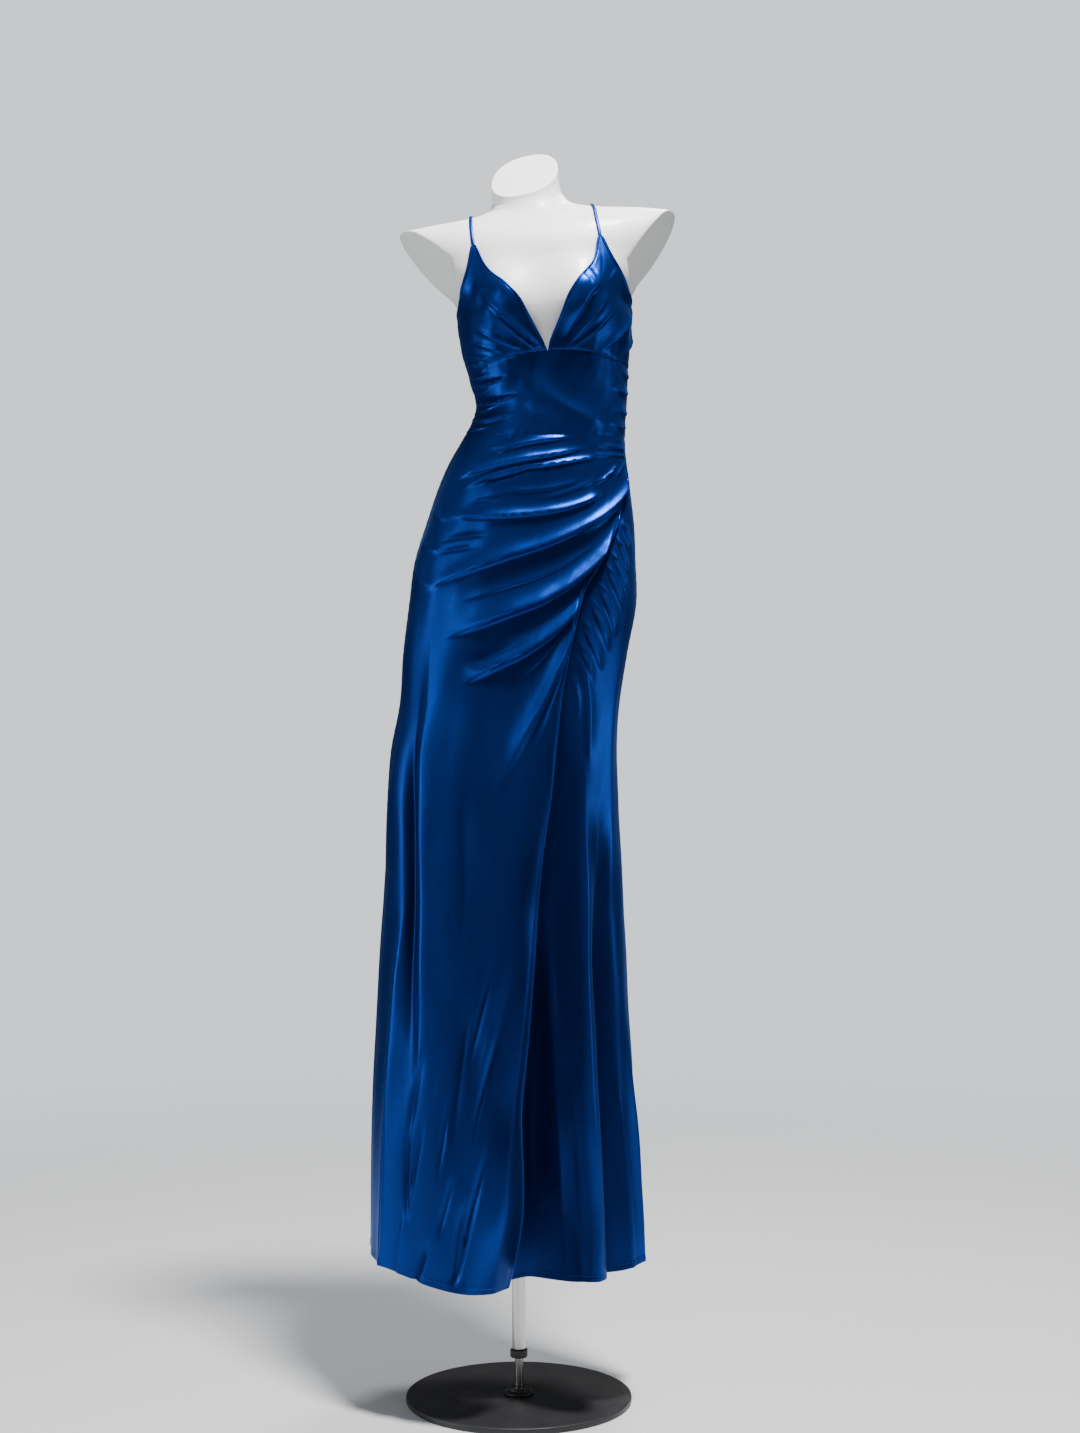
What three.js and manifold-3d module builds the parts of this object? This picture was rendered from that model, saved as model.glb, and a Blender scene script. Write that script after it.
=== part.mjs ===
// Satin wrap-front evening gown on a limbless dress form with a height-adjustable stand.
// Lengths are millimetres and angles are degrees, unless a name says otherwise.
// Up is +Z, the gown's front faces -Y, and the origin is the middle of the base plate's underside.
import * as THREE from 'three';
import { mergeVertices } from 'three/addons/utils/BufferGeometryUtils.js';
import Module from 'manifold-3d';

const wasm = await Module();
wasm.setup();

// Cloth and seams
const WALL = 1.4;
const SEAM_GAP = 0.3;
const REST_GAP = 0.35;
const WAIST_SEAM = 1360;
const UNDERBUST_AT_SIDE = 1455;
const UNDERBUST_RISE = 19;
const ARMHOLE_BASE = 1540;
const BACK_NECKLINE_LOW = 1415;
const BACK_NECKLINE_SCOOP = 2.2;
const SEAM_HOLD = 12;
const NORMAL_STEP = 0.5;

// The figure's section at each height: a rounded oval whose front and back depths differ.
// The cloth lies on it, and the dress form is the same figure made smaller by the inset.
const SECTION_ROUNDNESS = 2.25;
const CHEST_REACH = 124;
const CHEST_REACH_FROM = 1545;
const FIGURE = namedColumns(['height', 'middle', 'halfWidth', 'front', 'back', 'inset'], [
  [188, -17, 192, 158, 178, 6],
  [280, -19, 190, 154, 174, 6],
  [425, -22, 184, 146, 166, 6],
  [600, -22, 175, 136, 154, 6],
  [750, -21, 168, 124, 142, 6],
  [850, -23, 164, 114, 132, 6],
  [920, -21, 160, 107, 126, 6],
  [990, -13, 156, 101, 123, 12],
  [1060, -5, 159, 99, 124, 9],
  [1135, 6, 161, 98, 130, 6],
  [1190, 9, 157, 98, 131, 6],
  [1250, 17, 146, 97, 120, 6],
  [1300, 23, 134, 94, 102, 6],
  [1349, 31, 119, 91, 84, 6],
  [1380, 40, 111, 89, 76, 6],
  [1410, 46, 107, 88, 73, 6],
  [1450, 43, 112, 92, 78, 6],
  [1490, 39, 119, 98, 88, 6],
  [1530, 37, 124, 102, 95, 6],
  [1545, 36, 124, 102, 96, 6],
  [1575, 33, 150, 98, 96, 5.4],
  [1605, 29, 182, 92, 94, 4.6],
  [1635, 25, 208, 84, 90, 3],
  [1658, 22, 216, 73, 85, 2.6],
  [1670, 20.5, 200, 63, 79, 1.2],
  [1677, 20, 158, 57, 73, 0.4],
  [1683, 19, 103, 53, 68, 0],
  [1690, 16.5, 66, 51, 63, 0],
  [1702, 12.5, 51, 49, 58, 0],
  [1718, 9.5, 47.5, 48, 54, 0],
  [1738, 8, 47, 48, 53, 0],
]);
// How far each level leans: tilt lifts its +X side, slant lifts its back, for one millimetre across.
const LEAN = namedColumns(['height', 'tilt', 'slant'], [
  [1330, 0, 0],
  [1400, 0.028, 0],
  [1500, 0.0787, 0],
  [1600, 0.0787, 0],
  [1658, 0.0787, 0.08],
  [1683, 0.1, 0.16],
  [1702, 0.14, 0.3],
  [1718, 0.19, 0.5],
  [1738, 0.25, 0.78],
]);
const BUST = { across: 58, height: 1548, rise: 24, spread: 45 };

// Skirt hem: a little higher at the sides than at the front corner
const HEM = namedColumns(['angle', 'height'], [
  [-180, 196],
  [-90, 213],
  [-60, 212],
  [-45, 206],
  [-30, 196],
  [-15, 189],
  [0, 189],
  [10, 196],
  [20, 198],
  [60, 201],
  [90, 212],
  [180, 196],
]);

// Free edge of the wrap panel: it follows the gather line down to the slit, then the slit
const WRAP_EDGE = namedColumns(['height', 'angle'], [
  [180, 1],
  [216, 3.6],
  [281, 7],
  [343, 7.4],
  [419, 7.1],
  [513, 9.9],
  [629, 13.1],
  [750, 16.2],
  [866, 23],
  [938, 24.5],
  [1001, 24.6],
  [1062, 25.9],
  [1114, 26.8],
  [1145, 29.4],
  [1180, 39],
  [1244, 55.4],
  [1318, 81],
  [1345, 86],
  [1362, 88],
]);
// A row of the wrap panel runs from its height at the free edge to its height at the side seam.
// The rows fan out from the gather line, as the cloth's folds do.
const WRAP_ROWS = namedColumns(['row', 'atEdge', 'atSide'], [
  [0, 1360, 1360],
  [4, 1332, 1300],
  [8, 1303, 1222],
  [14, 1250, 1130],
  [20, 1190, 1040],
  [26, 1120, 930],
  [31, 1020, 760],
  [36, 800, 560],
  [40, 480, 380],
  [44, 180, 200],
]);
const WRAP_ROW_COUNT = 44;
const WRAP_FAN = 1.25;
const WRAP_COLUMN_COUNT = 30;
const SLIT_TOP = 1000;
const SLIT_TOP_SHARE = 0.36;
const GATHER_TOP = 1240;
const GATHER_TOP_SHARE = 0.86;
const SLIT_DEPTH_AT_HEM = 95;
const SLIT_DEPTH_GROWTH = 1.3;
const SLIT_FADE_ANGLE = 38;
const ROLL_SHARE = 0.65;
const ROLL_ANGLE = 17;
const UNDERLAP_ANGLE = 5;
const UNDERLAP_ANGLE_AT_SLIT = 24;
const UNDERLAP_DEPTH = 3.2;

// Folds of the wrap panel. A fold's crest runs from its start through its bend to its end.
// A negative rise is a hollow. The width is half the fold's foot, on its gentle side.
const FOLD_COLUMNS = ['startAngle', 'startHeight', 'bendAngle', 'bendHeight', 'endAngle', 'endHeight', 'width', 'rise'];
const WRAP_FOLDS = namedRows(FOLD_COLUMNS, [
  [-26, 1331, -6, 1350, 22, 1355, 11, 4],
  [-58, 1299, -10, 1324, 34, 1343, 15, 6.5],
  [-56, 1281, -8, 1309, 52, 1334, 13, 5],
  [-52, 1250, 1, 1250, 42, 1282, 18, 5.5],
  [-58, 1146, 10, 1209, 76, 1308, 24, 8],
  [-38, 1076, 16, 1144, 58, 1245, 30, 13],
  [-26, 1008, 13, 1080, 34, 1158, 28, 13],
  [-4, 840, 20, 1028, 30, 1120, 26, 12],
  [40, 1300, 58, 1322, 80, 1328, 9, 4],
  [-84, 1262, -66, 1250, -48, 1262, 12, 3.5],
  [-84, 1216, -64, 1206, -44, 1216, 12, 3.5],
  [-80, 1178, -62, 1164, -44, 1172, 13, 3.5],
  [-46, 1140, -35, 800, -32, 400, 40, 13],
  [-46, 980, -51, 760, -50, 520, 26, -15],
  [-76, 900, -74, 600, -70, 120, 36, 7],
  [-56, 420, -56, 250, -54, 60, 24, -12],
  [3, 560, -5, 480, -14, 390, 14, -7],
  [-22, 560, -27, 430, -30, 300, 18, -8],
  [-3, 420, -12, 300, -24, 150, 22, -9],
  [14, 720, 4, 430, -7, 60, 44, 20],
]);
const UNDER_FOLDS = namedRows(FOLD_COLUMNS, [
  [51, 1222, 56, 1200, 60, 1176, 9, 3.5],
  [45, 1186, 53, 1158, 60, 1124, 9, 4],
  [38, 1156, 47, 1124, 56, 1088, 9, 4.5],
  [33, 1124, 42, 1092, 50, 1060, 9, 4.5],
  [28, 1112, 38, 1084, 48, 1046, 9, 4.5],
  [28, 1078, 36, 1052, 44, 1022, 10, 4.5],
  [28, 1060, 41, 1000, 48, 880, 14, 6],
  [20, 700, 26, 448, 34, 60, 30, 9],
  [24, 660, 33, 440, 39, 60, 20, -8],
  [46, 930, 43, 579, 42, 60, 34, 12],
  [52, 860, 55, 500, 55, 60, 34, -34],
  [76, 560, 77, 340, 76, 60, 26, 8],
]);
const BACK_FOLDS = namedRows(FOLD_COLUMNS, [
  [112, 930, 109, 560, 107, 60, 44, 12],
  [131, 820, 133, 500, 134, 60, 36, -12],
  [148, 980, 151, 600, 153, 60, 46, 15],
  [169, 760, 167, 460, 168, 60, 34, -11],
  [-108, 900, -105, 540, -104, 60, 40, 11],
  [-127, 860, -128, 500, -131, 60, 38, -13],
  [-145, 960, -149, 560, -150, 60, 48, 14],
  [-167, 800, -168, 480, -166, 60, 32, -10],
]);
const BODICE_FOLDS = namedRows(FOLD_COLUMNS, [
  [-84, 1452, -56, 1444, -34, 1450, 10, 2.6],
  [-84, 1432, -52, 1424, -30, 1430, 9, 2.4],
  [-86, 1412, -58, 1403, -36, 1410, 9, 2.6],
  [-84, 1391, -50, 1383, -26, 1388, 9, 2.4],
  [86, 1440, 62, 1430, 40, 1438, 10, 2.2],
  [84, 1398, 58, 1388, 34, 1394, 10, 2.2],
]);
const CUP_FOLDS = namedRows(FOLD_COLUMNS, [
  [-3, 1478, -20, 1520, -36, 1560, 12, 4],
  [-10, 1474, -30, 1500, -52, 1530, 12, 4],
  [-24, 1468, -46, 1478, -72, 1500, 12, 3.5],
  [-40, 1461, -60, 1463, -82, 1476, 9, 3],
  [3, 1478, 18, 1526, 26, 1572, 12, -2],
  [9, 1474, 26, 1512, 44, 1546, 12, 4.5],
  [22, 1468, 46, 1490, 66, 1532, 11, 4],
  [40, 1461, 64, 1474, 84, 1506, 10, 3.5],
]);

// The cups' free edges, as distances from the centre line
const NECKLINE = namedColumns(['height', 'across'], [
  [1440, 0.2],
  [1474, 0.2],
  [1505, 14],
  [1525, 24],
  [1545, 34],
  [1566, 50],
  [1590, 71],
  [1632, 85],
]);
const ARMHOLE = namedColumns(['height', 'across'], [
  [1550, 120],
  [1570, 113],
  [1600, 100],
  [1632, 90.6],
]);
const CUP_TOP = 1632;

// Straps run over the shoulders from the cups to the back neckline
const STRAP = { width: 5, thickness: 3, frontAcross: 87.8, shoulderAcross: 85, backAcross: 60, steps: 44, sides: 6 };
const STRAP_AXIS_HEIGHT = 1600;
const STRAP_BACK_RISE = 27;
const STRAP_RAY = 400;
const STRAP_END_GAP = 0.8;
const STRAP_SHOULDER_LIFT = 1;
const STRAP_BACK_LIFT = 3.3;

// Concealed zip at the centre back
const ZIP = { top: 1411, sliderWidth: 5, sliderLength: 9, sliderThickness: 1.6, pinStand: 2.4, postWidth: 1,
  postLength: 2, pinRadius: 0.7, pullWidth: 5.4, pullLength: 21, pullThickness: 1.2, neckWidth: 2, eyeWall: 0.45 };

// Dress form
const FORM_BOTTOM = 1000;
const FORM_COLUMN_COUNT = 28;
const FORM_RINGS = namedColumns(['height', 'share'], [
  [1000, 0.8],
  [1006, 0.92],
  [1018, 0.99],
  [1040, 1],
  [1090, 1],
  [1135, 1],
  [1190, 1],
  [1245, 1],
  [1300, 1],
  [1345, 1],
  [1380, 1],
  [1415, 1],
  [1455, 1],
  [1490, 1],
  [1520, 1],
  [1548, 1],
  [1575, 1],
  [1605, 1],
  [1635, 1],
  [1655, 1],
  [1668, 1],
  [1677, 1],
  [1684, 1],
  [1692, 1],
  [1704, 1],
  [1720, 1],
  [1738, 1],
]);
const ARM_CUT = { topAcross: 194, topHeight: 1668, lowAcross: 120, lowHeight: 1556, leftShift: 13, turnToFront: 20,
  block: 320 };

// Stand
const SOCKET = { flangeRadius: 36, flangeThickness: 8, sleeveRadius: 14, sleeveLength: 42 };
const TUBE = { radius: 9.5, bore: 6.7, bottom: 73.3 };
const COLLAR = { radius: 12.4, bottom: 61, height: 12, chamfer: 1.6 };
const ROD = { radius: 6, top: 360 };
const HUB = { radius: 21, top: 19.5, neckRadius: 15 };
const PLATE = { radius: 160, thickness: 9, edge: 2.5 };
const RUNNING_GAP = 0.35;
const ROUND_SEGMENTS = 16;
const PLATE_SEGMENTS = 40;

const SATIN = { color: 0x0a3f9e, roughness: 0.34, metalness: 0 };
const FORM_WHITE = { color: 0xf2f2f0, roughness: 0.3, metalness: 0 };
const STEEL = { color: 0xc9c8c4, roughness: 0.22, metalness: 1 };
const BLACK_METAL = { color: 0x1b1b1d, roughness: 0.45, metalness: 0.4 };
const NICKEL = { color: 0x8f99b0, roughness: 0.3, metalness: 1 };

// Tables

function namedColumns(names, rows) {
  return Object.fromEntries(names.map((name, i) => [name, rows.map((row) => row[i])]));
}

function namedRows(names, rows) {
  return rows.map((row) => Object.fromEntries(names.map((name, i) => [name, row[i]])));
}

// A smooth curve through one column against another: cubic steps whose slopes at each row
// are the mean of the slopes on its two sides.
function smoothColumn(table, keyName, valueName) {
  const keys = table[keyName];
  const values = table[valueName];
  const last = keys.length - 1;
  const steps = keys.slice(1).map((key, i) => (values[i + 1] - values[i]) / (key - keys[i]));
  const slopes = keys.map((_, i) => {
    if (i === 0) return steps[0];
    if (i === last) return steps[last - 1];
    return (steps[i - 1] + steps[i]) / 2;
  });
  return (key) => {
    if (key <= keys[0]) return values[0];
    if (key >= keys[last]) return values[last];
    let i = 0;
    while (key > keys[i + 1]) i += 1;
    const span = keys[i + 1] - keys[i];
    const t = (key - keys[i]) / span;
    const t2 = t * t;
    const t3 = t2 * t;
    return (2 * t3 - 3 * t2 + 1) * values[i] + (t3 - 2 * t2 + t) * span * slopes[i]
      + (3 * t2 - 2 * t3) * values[i + 1] + (t3 - t2) * span * slopes[i + 1];
  };
}

const middleAt = smoothColumn(FIGURE, 'height', 'middle');
const halfWidthAt = smoothColumn(FIGURE, 'height', 'halfWidth');
const frontAt = smoothColumn(FIGURE, 'height', 'front');
const backAt = smoothColumn(FIGURE, 'height', 'back');
const insetAt = smoothColumn(FIGURE, 'height', 'inset');
const tiltAt = smoothColumn(LEAN, 'height', 'tilt');
const slantAt = smoothColumn(LEAN, 'height', 'slant');
const hemAt = smoothColumn(HEM, 'angle', 'height');
const wrapEdgeAt = smoothColumn(WRAP_EDGE, 'height', 'angle');
const rowAtEdge = smoothColumn(WRAP_ROWS, 'row', 'atEdge');
const rowAtSide = smoothColumn(WRAP_ROWS, 'row', 'atSide');
const necklineAt = smoothColumn(NECKLINE, 'height', 'across');
const armholeAt = smoothColumn(ARMHOLE, 'height', 'across');
const ringShareAt = smoothColumn(FORM_RINGS, 'height', 'share');

// Small mathematics

const radians = THREE.MathUtils.degToRad;
const degrees = THREE.MathUtils.radToDeg;
const mix = THREE.MathUtils.lerp;
const clamp = THREE.MathUtils.clamp;

function smoothStep(from, to, x) {
  const t = clamp((x - from) / (to - from), 0, 1);
  return t * t * (3 - 2 * t);
}

function crossOfSteps(pointAt, a, b, step) {
  const alongA = pointAt(a + step, b).sub(pointAt(a - step, b));
  const alongB = pointAt(a, b + step).sub(pointAt(a, b - step));
  return alongA.cross(alongB).normalize();
}

// The figure

function bustRise(across, height, face) {
  const near = (side) => Math.hypot(across - side * BUST.across, height - BUST.height) / BUST.spread;
  const mounds = Math.exp(-(near(1) ** 2)) + Math.exp(-(near(-1) ** 2));
  return BUST.rise * mounds * smoothStep(0, 0.45, face);
}

function depthAt(across, height, isFront, inset) {
  const half = halfWidthAt(height) - inset;
  const share = clamp(Math.abs(across) / half, 0, 1);
  const face = (1 - share ** SECTION_ROUNDNESS) ** (1 / SECTION_ROUNDNESS);
  if (!isFront) return (backAt(height) - inset) * face;
  return -(frontAt(height) - inset) * face - bustRise(across, height, face);
}

function placed(across, depth, height) {
  return new THREE.Vector3(
    middleAt(height) + across,
    depth,
    height + tiltAt(height) * across + slantAt(height) * depth,
  );
}

function reachAt(height) {
  return height > CHEST_REACH_FROM ? CHEST_REACH : halfWidthAt(height);
}

// A point on the figure. The angle is 0 at the middle of the front, 90 at the +X side
// and 180 at the back, with the section's own roundness between them.
function figurePoint(angle, height, reach = reachAt(height), inset = 0) {
  const swing = Math.sin(radians(angle));
  const isFront = Math.cos(radians(angle)) >= 0;
  const across = (reach - inset) * Math.sign(swing) * Math.abs(swing) ** (2 / SECTION_ROUNDNESS);
  return placed(across, depthAt(across, height, isFront, inset), height);
}

function angleOfAcross(across, height) {
  const share = clamp(Math.abs(across) / reachAt(height), 0, 1);
  return Math.sign(across) * degrees(Math.asin(share ** (SECTION_ROUNDNESS / 2)));
}

function liftedPoint(angle, height, lift) {
  const normal = crossOfSteps(figurePoint, angle, height, NORMAL_STEP);
  return figurePoint(angle, height).addScaledVector(normal, lift);
}

// The angle that a seam's half gap takes beside the side seams and the centre seams
function sideSeamAngle(height) {
  return degrees((SEAM_GAP / 2 / frontAt(height)) ** (SECTION_ROUNDNESS / 2));
}

function centreSeamAngle(height) {
  return angleOfAcross(SEAM_GAP / 2, height);
}

// Folds

const FOLD_STEPS = 10;
const FOLD_STEEP_SHARE = 0.5;
const FOLD_TAPER = 0.22;

function foldCrest(fold) {
  const start = new THREE.Vector2(fold.startAngle, fold.startHeight);
  const bend = new THREE.Vector2(fold.bendAngle, fold.bendHeight);
  const end = new THREE.Vector2(fold.endAngle, fold.endHeight);
  const control = bend.clone().multiplyScalar(2).addScaledVector(start, -0.5).addScaledVector(end, -0.5);
  return new THREE.QuadraticBezierCurve(start, control, end).getPoints(FOLD_STEPS);
}

// Each stretch of a fold's crest, with the direction of its gentle side across the cloth: it lies
// left of the crest's way from start to end, seen from outside.
function foldStretches(fold) {
  const spots = foldCrest(fold);
  return spots.slice(1).map((spot, i) => {
    const from = figurePoint(spots[i].x, spots[i].y);
    const along = figurePoint(spot.x, spot.y).sub(from);
    const normal = crossOfSteps(figurePoint, spot.x, spot.y, NORMAL_STEP);
    const side = normal.clone().cross(along).normalize();
    return { from, along, side, lengthSquared: along.lengthSq() };
  });
}

function withStretches(folds) {
  return folds.map((fold) => ({ ...fold, stretches: foldStretches(fold) }));
}

function foldRise(fold, point) {
  const offset = new THREE.Vector3();
  let nearest = Infinity;
  let place = 0;
  let across = 0;
  fold.stretches.forEach((stretch, i) => {
    offset.subVectors(point, stretch.from);
    const t = clamp(offset.dot(stretch.along) / stretch.lengthSquared, 0, 1);
    offset.addScaledVector(stretch.along, -t);
    const distance = offset.lengthSq();
    if (distance < nearest) {
      nearest = distance;
      place = (i + t) / FOLD_STEPS;
      across = offset.dot(stretch.side);
    }
  });
  const foot = across > 0 ? fold.width : fold.width * FOLD_STEEP_SHARE;
  const taper = smoothStep(0, FOLD_TAPER, place) * smoothStep(1, 1 - FOLD_TAPER, place);
  return fold.rise * taper * Math.exp(-1.6 * nearest / (foot * foot));
}

// Folds that cross blend by a cubic mean, so that crests meet and don't pile up.
function foldLift(folds, point) {
  let crests = 0;
  let hollows = 0;
  folds.forEach((fold) => {
    const rise = foldRise(fold, point);
    if (rise > 0) crests += rise ** 3;
    else hollows -= rise ** 3;
  });
  return Math.cbrt(crests) - Math.cbrt(hollows);
}

// Solids

// A closed mesh from rings of points: each ring joins the next, and flat fans close both ends.
function meshFromRings(rings) {
  const count = rings[0].length;
  const points = rings.flat();
  const faces = [];
  for (let r = 0; r < rings.length - 1; r += 1) {
    for (let k = 0; k < count; k += 1) {
      const a = r * count + k;
      const b = r * count + (k + 1) % count;
      faces.push([a, b, b + count], [a, b + count, a + count]);
    }
  }
  const centre = (ring) => ring.reduce((sum, p) => sum.add(p), new THREE.Vector3()).divideScalar(count);
  const top = (rings.length - 1) * count;
  points.push(centre(rings[0]), centre(rings[rings.length - 1]));
  for (let k = 0; k < count; k += 1) {
    const next = (k + 1) % count;
    faces.push([next, k, points.length - 2], [top + k, top + next, points.length - 1]);
  }
  return geometryOf(points, faces);
}

function geometryOf(points, faces) {
  const geometry = new THREE.BufferGeometry();
  geometry.setAttribute('position', new THREE.Float32BufferAttribute(points.flatMap((p) => p.toArray()), 3));
  geometry.setIndex(faces.flat());
  return geometry;
}

// A cloth wall over a grid: pointAt(s, t) gives its outer face for s and t from 0 to 1, with
// s running to the angle's growing side and t running up. The inner face lies a wall inside.
function wallGeometry(pointAt, columns, rows) {
  const outer = [];
  const inner = [];
  for (let j = 0; j <= rows; j += 1) {
    for (let i = 0; i <= columns; i += 1) {
      const point = pointAt(i / columns, j / rows);
      const normal = crossOfSteps(pointAt, i / columns, j / rows, 1e-3);
      outer.push(point);
      inner.push(point.clone().addScaledVector(normal, -WALL));
    }
  }
  const shift = outer.length;
  const at = (i, j) => j * (columns + 1) + i;
  const faces = [];
  const quad = (a, b, c, d) => faces.push([a, b, c], [a, c, d]);
  for (let j = 0; j < rows; j += 1) {
    for (let i = 0; i < columns; i += 1) {
      const [a, b, c, d] = [at(i, j), at(i + 1, j), at(i + 1, j + 1), at(i, j + 1)];
      quad(a, b, c, d);
      quad(c + shift, b + shift, a + shift, d + shift);
    }
  }
  const rim = (a, b) => quad(b, a, a + shift, b + shift);
  for (let i = 0; i < columns; i += 1) {
    rim(at(i, 0), at(i + 1, 0));
    rim(at(i + 1, rows), at(i, rows));
  }
  for (let j = 0; j < rows; j += 1) {
    rim(at(columns, j), at(columns, j + 1));
    rim(at(0, j + 1), at(0, j));
  }
  return geometryOf([...outer, ...inner], faces);
}

function solidOf(geometry) {
  const bare = geometry.clone();
  bare.deleteAttribute('normal');
  bare.deleteAttribute('uv');
  const merged = mergeVertices(bare, 1e-4);
  return new wasm.Manifold(new wasm.Mesh({
    numProp: 3,
    vertProperties: new Float32Array(merged.attributes.position.array),
    triVerts: new Uint32Array(merged.index.array),
  }));
}

function geometryOfSolid(solid) {
  const mesh = solid.getMesh();
  const geometry = new THREE.BufferGeometry();
  geometry.setAttribute('position', new THREE.BufferAttribute(new Float32Array(mesh.vertProperties), 3));
  geometry.setIndex(new THREE.BufferAttribute(new Uint32Array(mesh.triVerts), 1));
  return geometry;
}

// A turned piece about the Z axis, from its profile of [radius, height] points
function turned(profile, segments = ROUND_SEGMENTS) {
  const points = profile.map(([radius, height]) => new THREE.Vector2(radius, height));
  return new THREE.LatheGeometry(points, segments).rotateX(Math.PI / 2);
}

function named(name, geometry, finish) {
  const mesh = new THREE.Mesh(geometry, new THREE.MeshStandardMaterial(finish));
  mesh.name = name;
  return mesh;
}

// Bodice

const bodiceFolds = withStretches(BODICE_FOLDS);
const cupFolds = withStretches(CUP_FOLDS);
const wrapFolds = withStretches(WRAP_FOLDS);
const underFolds = withStretches(UNDER_FOLDS);
const backFolds = withStretches(BACK_FOLDS);

function underbustAt(angle) {
  return UNDERBUST_AT_SIDE + UNDERBUST_RISE * Math.cos(radians(angle)) ** 2;
}

function bodiceFrontPoint(s, t) {
  const side = 90 - sideSeamAngle(WAIST_SEAM);
  const angle = mix(-side, side, s);
  const height = mix(WAIST_SEAM + SEAM_GAP / 2, underbustAt(angle) - SEAM_GAP / 2, t);
  const hold = smoothStep(WAIST_SEAM, WAIST_SEAM + SEAM_HOLD, height)
    * smoothStep(underbustAt(angle), underbustAt(angle) - SEAM_HOLD, height)
    * smoothStep(90, 84, Math.abs(angle));
  return liftedPoint(angle, height, hold * foldLift(bodiceFolds, figurePoint(angle, height)));
}

function backNecklineAt(angle) {
  const rise = ARMHOLE_BASE - BACK_NECKLINE_LOW;
  return BACK_NECKLINE_LOW + rise * Math.abs(Math.sin(radians(angle))) ** BACK_NECKLINE_SCOOP;
}

function bodiceBackPoint(side) {
  return (s, t) => {
    const near = 90 + sideSeamAngle(WAIST_SEAM);
    const far = 180 - centreSeamAngle(WAIST_SEAM);
    const angle = side > 0 ? mix(near, far, s) : mix(-far, -near, s);
    const height = mix(WAIST_SEAM + SEAM_GAP / 2, backNecklineAt(angle), t);
    return liftedPoint(angle, height, 0);
  };
}

// The cup's outer limit is the side seam up to the armhole, then the armhole's edge
function cupOuterAngle(height) {
  const seam = 90 - sideSeamAngle(ARMHOLE_BASE);
  const edge = angleOfAcross(armholeAt(height), height);
  return mix(seam, edge, smoothStep(ARMHOLE_BASE, ARMHOLE_BASE + 14, height));
}

function cupPoint(side) {
  return (s, t) => {
    const outward = side > 0 ? s : 1 - s;
    const low = underbustAt(90 * outward) + SEAM_GAP / 2;
    const height = mix(low, CUP_TOP, t);
    const inner = angleOfAcross(necklineAt(height), height);
    const angle = side * mix(inner, cupOuterAngle(height), outward);
    const hold = smoothStep(low, low + SEAM_HOLD, height) * smoothStep(90, 84, Math.abs(angle));
    return liftedPoint(angle, height, hold * foldLift(cupFolds, figurePoint(angle, height)));
  };
}

// Skirt

function slitDepthAt(height) {
  const share = clamp((SLIT_TOP - height) / (SLIT_TOP - WRAP_EDGE.height[0]), 0, 1);
  return SLIT_DEPTH_AT_HEM * share ** SLIT_DEPTH_GROWTH;
}

function skirtHold(angle, height) {
  return smoothStep(WAIST_SEAM, WAIST_SEAM - SEAM_HOLD, height) * smoothStep(90, 86, Math.abs(angle));
}

// The wrap lies on the figure with its folds raised. Beside the slit it rolls inwards.
function wrapLift(angle, height) {
  const edge = wrapEdgeAt(height);
  const roll = clamp((angle - edge + ROLL_ANGLE) / ROLL_ANGLE, 0, 1.2) ** 2;
  const folds = skirtHold(angle, height) * foldLift(wrapFolds, figurePoint(angle, height));
  const overlap = smoothStep(edge - ROLL_ANGLE - 8, edge - ROLL_ANGLE, angle) * smoothStep(860, 940, height);
  return mix(folds, Math.max(folds, 0), overlap) - ROLL_SHARE * slitDepthAt(height) * roll;
}

function wrapPoint(s, t) {
  const row = (1 - t) * WRAP_ROW_COUNT;
  const edgeHeight = rowAtEdge(row);
  const seam = -90 + sideSeamAngle(WAIST_SEAM);
  const angle = mix(seam, wrapEdgeAt(edgeHeight), s);
  const drawn = mix(rowAtSide(row), edgeHeight, Math.sign(s) * Math.abs(s) ** WRAP_FAN);
  const share = clamp((WAIST_SEAM - drawn) / (WAIST_SEAM - mix(rowAtSide(WRAP_ROW_COUNT),
    rowAtEdge(WRAP_ROW_COUNT), Math.sign(s) * Math.abs(s) ** WRAP_FAN)), 0, 1.1);
  const height = mix(WAIST_SEAM - SEAM_GAP / 2, hemAt(angle), share);
  return liftedPoint(angle, height, wrapLift(angle, height));
}

// The under panel passes beneath the wrap and comes up to the figure beyond the wrap's edge.
function underLift(angle, height) {
  const edge = wrapEdgeAt(height);
  const beneath = 1 - smoothStep(edge + 0.5, edge + 6, angle);
  const slit = 1 - smoothStep(edge + 2, edge + SLIT_FADE_ANGLE, angle);
  const clear = smoothStep(edge + 0.5, edge + 4, angle);
  const folds = skirtHold(angle, height) * foldLift(underFolds, figurePoint(angle, height));
  return clear * folds - UNDERLAP_DEPTH * beneath - slitDepthAt(height) * slit;
}

// The under panel's rows: even steps from the hem to the slit's top, then closer ones along the
// gather line, then even ones up to the waist
function underRowHeight(t, angle) {
  if (t > GATHER_TOP_SHARE) {
    return mix(GATHER_TOP, WAIST_SEAM - SEAM_GAP / 2, (t - GATHER_TOP_SHARE) / (1 - GATHER_TOP_SHARE));
  }
  if (t > SLIT_TOP_SHARE) return mix(SLIT_TOP, GATHER_TOP, (t - SLIT_TOP_SHARE) / (GATHER_TOP_SHARE - SLIT_TOP_SHARE));
  return mix(hemAt(angle), SLIT_TOP, t / SLIT_TOP_SHARE);
}

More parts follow.
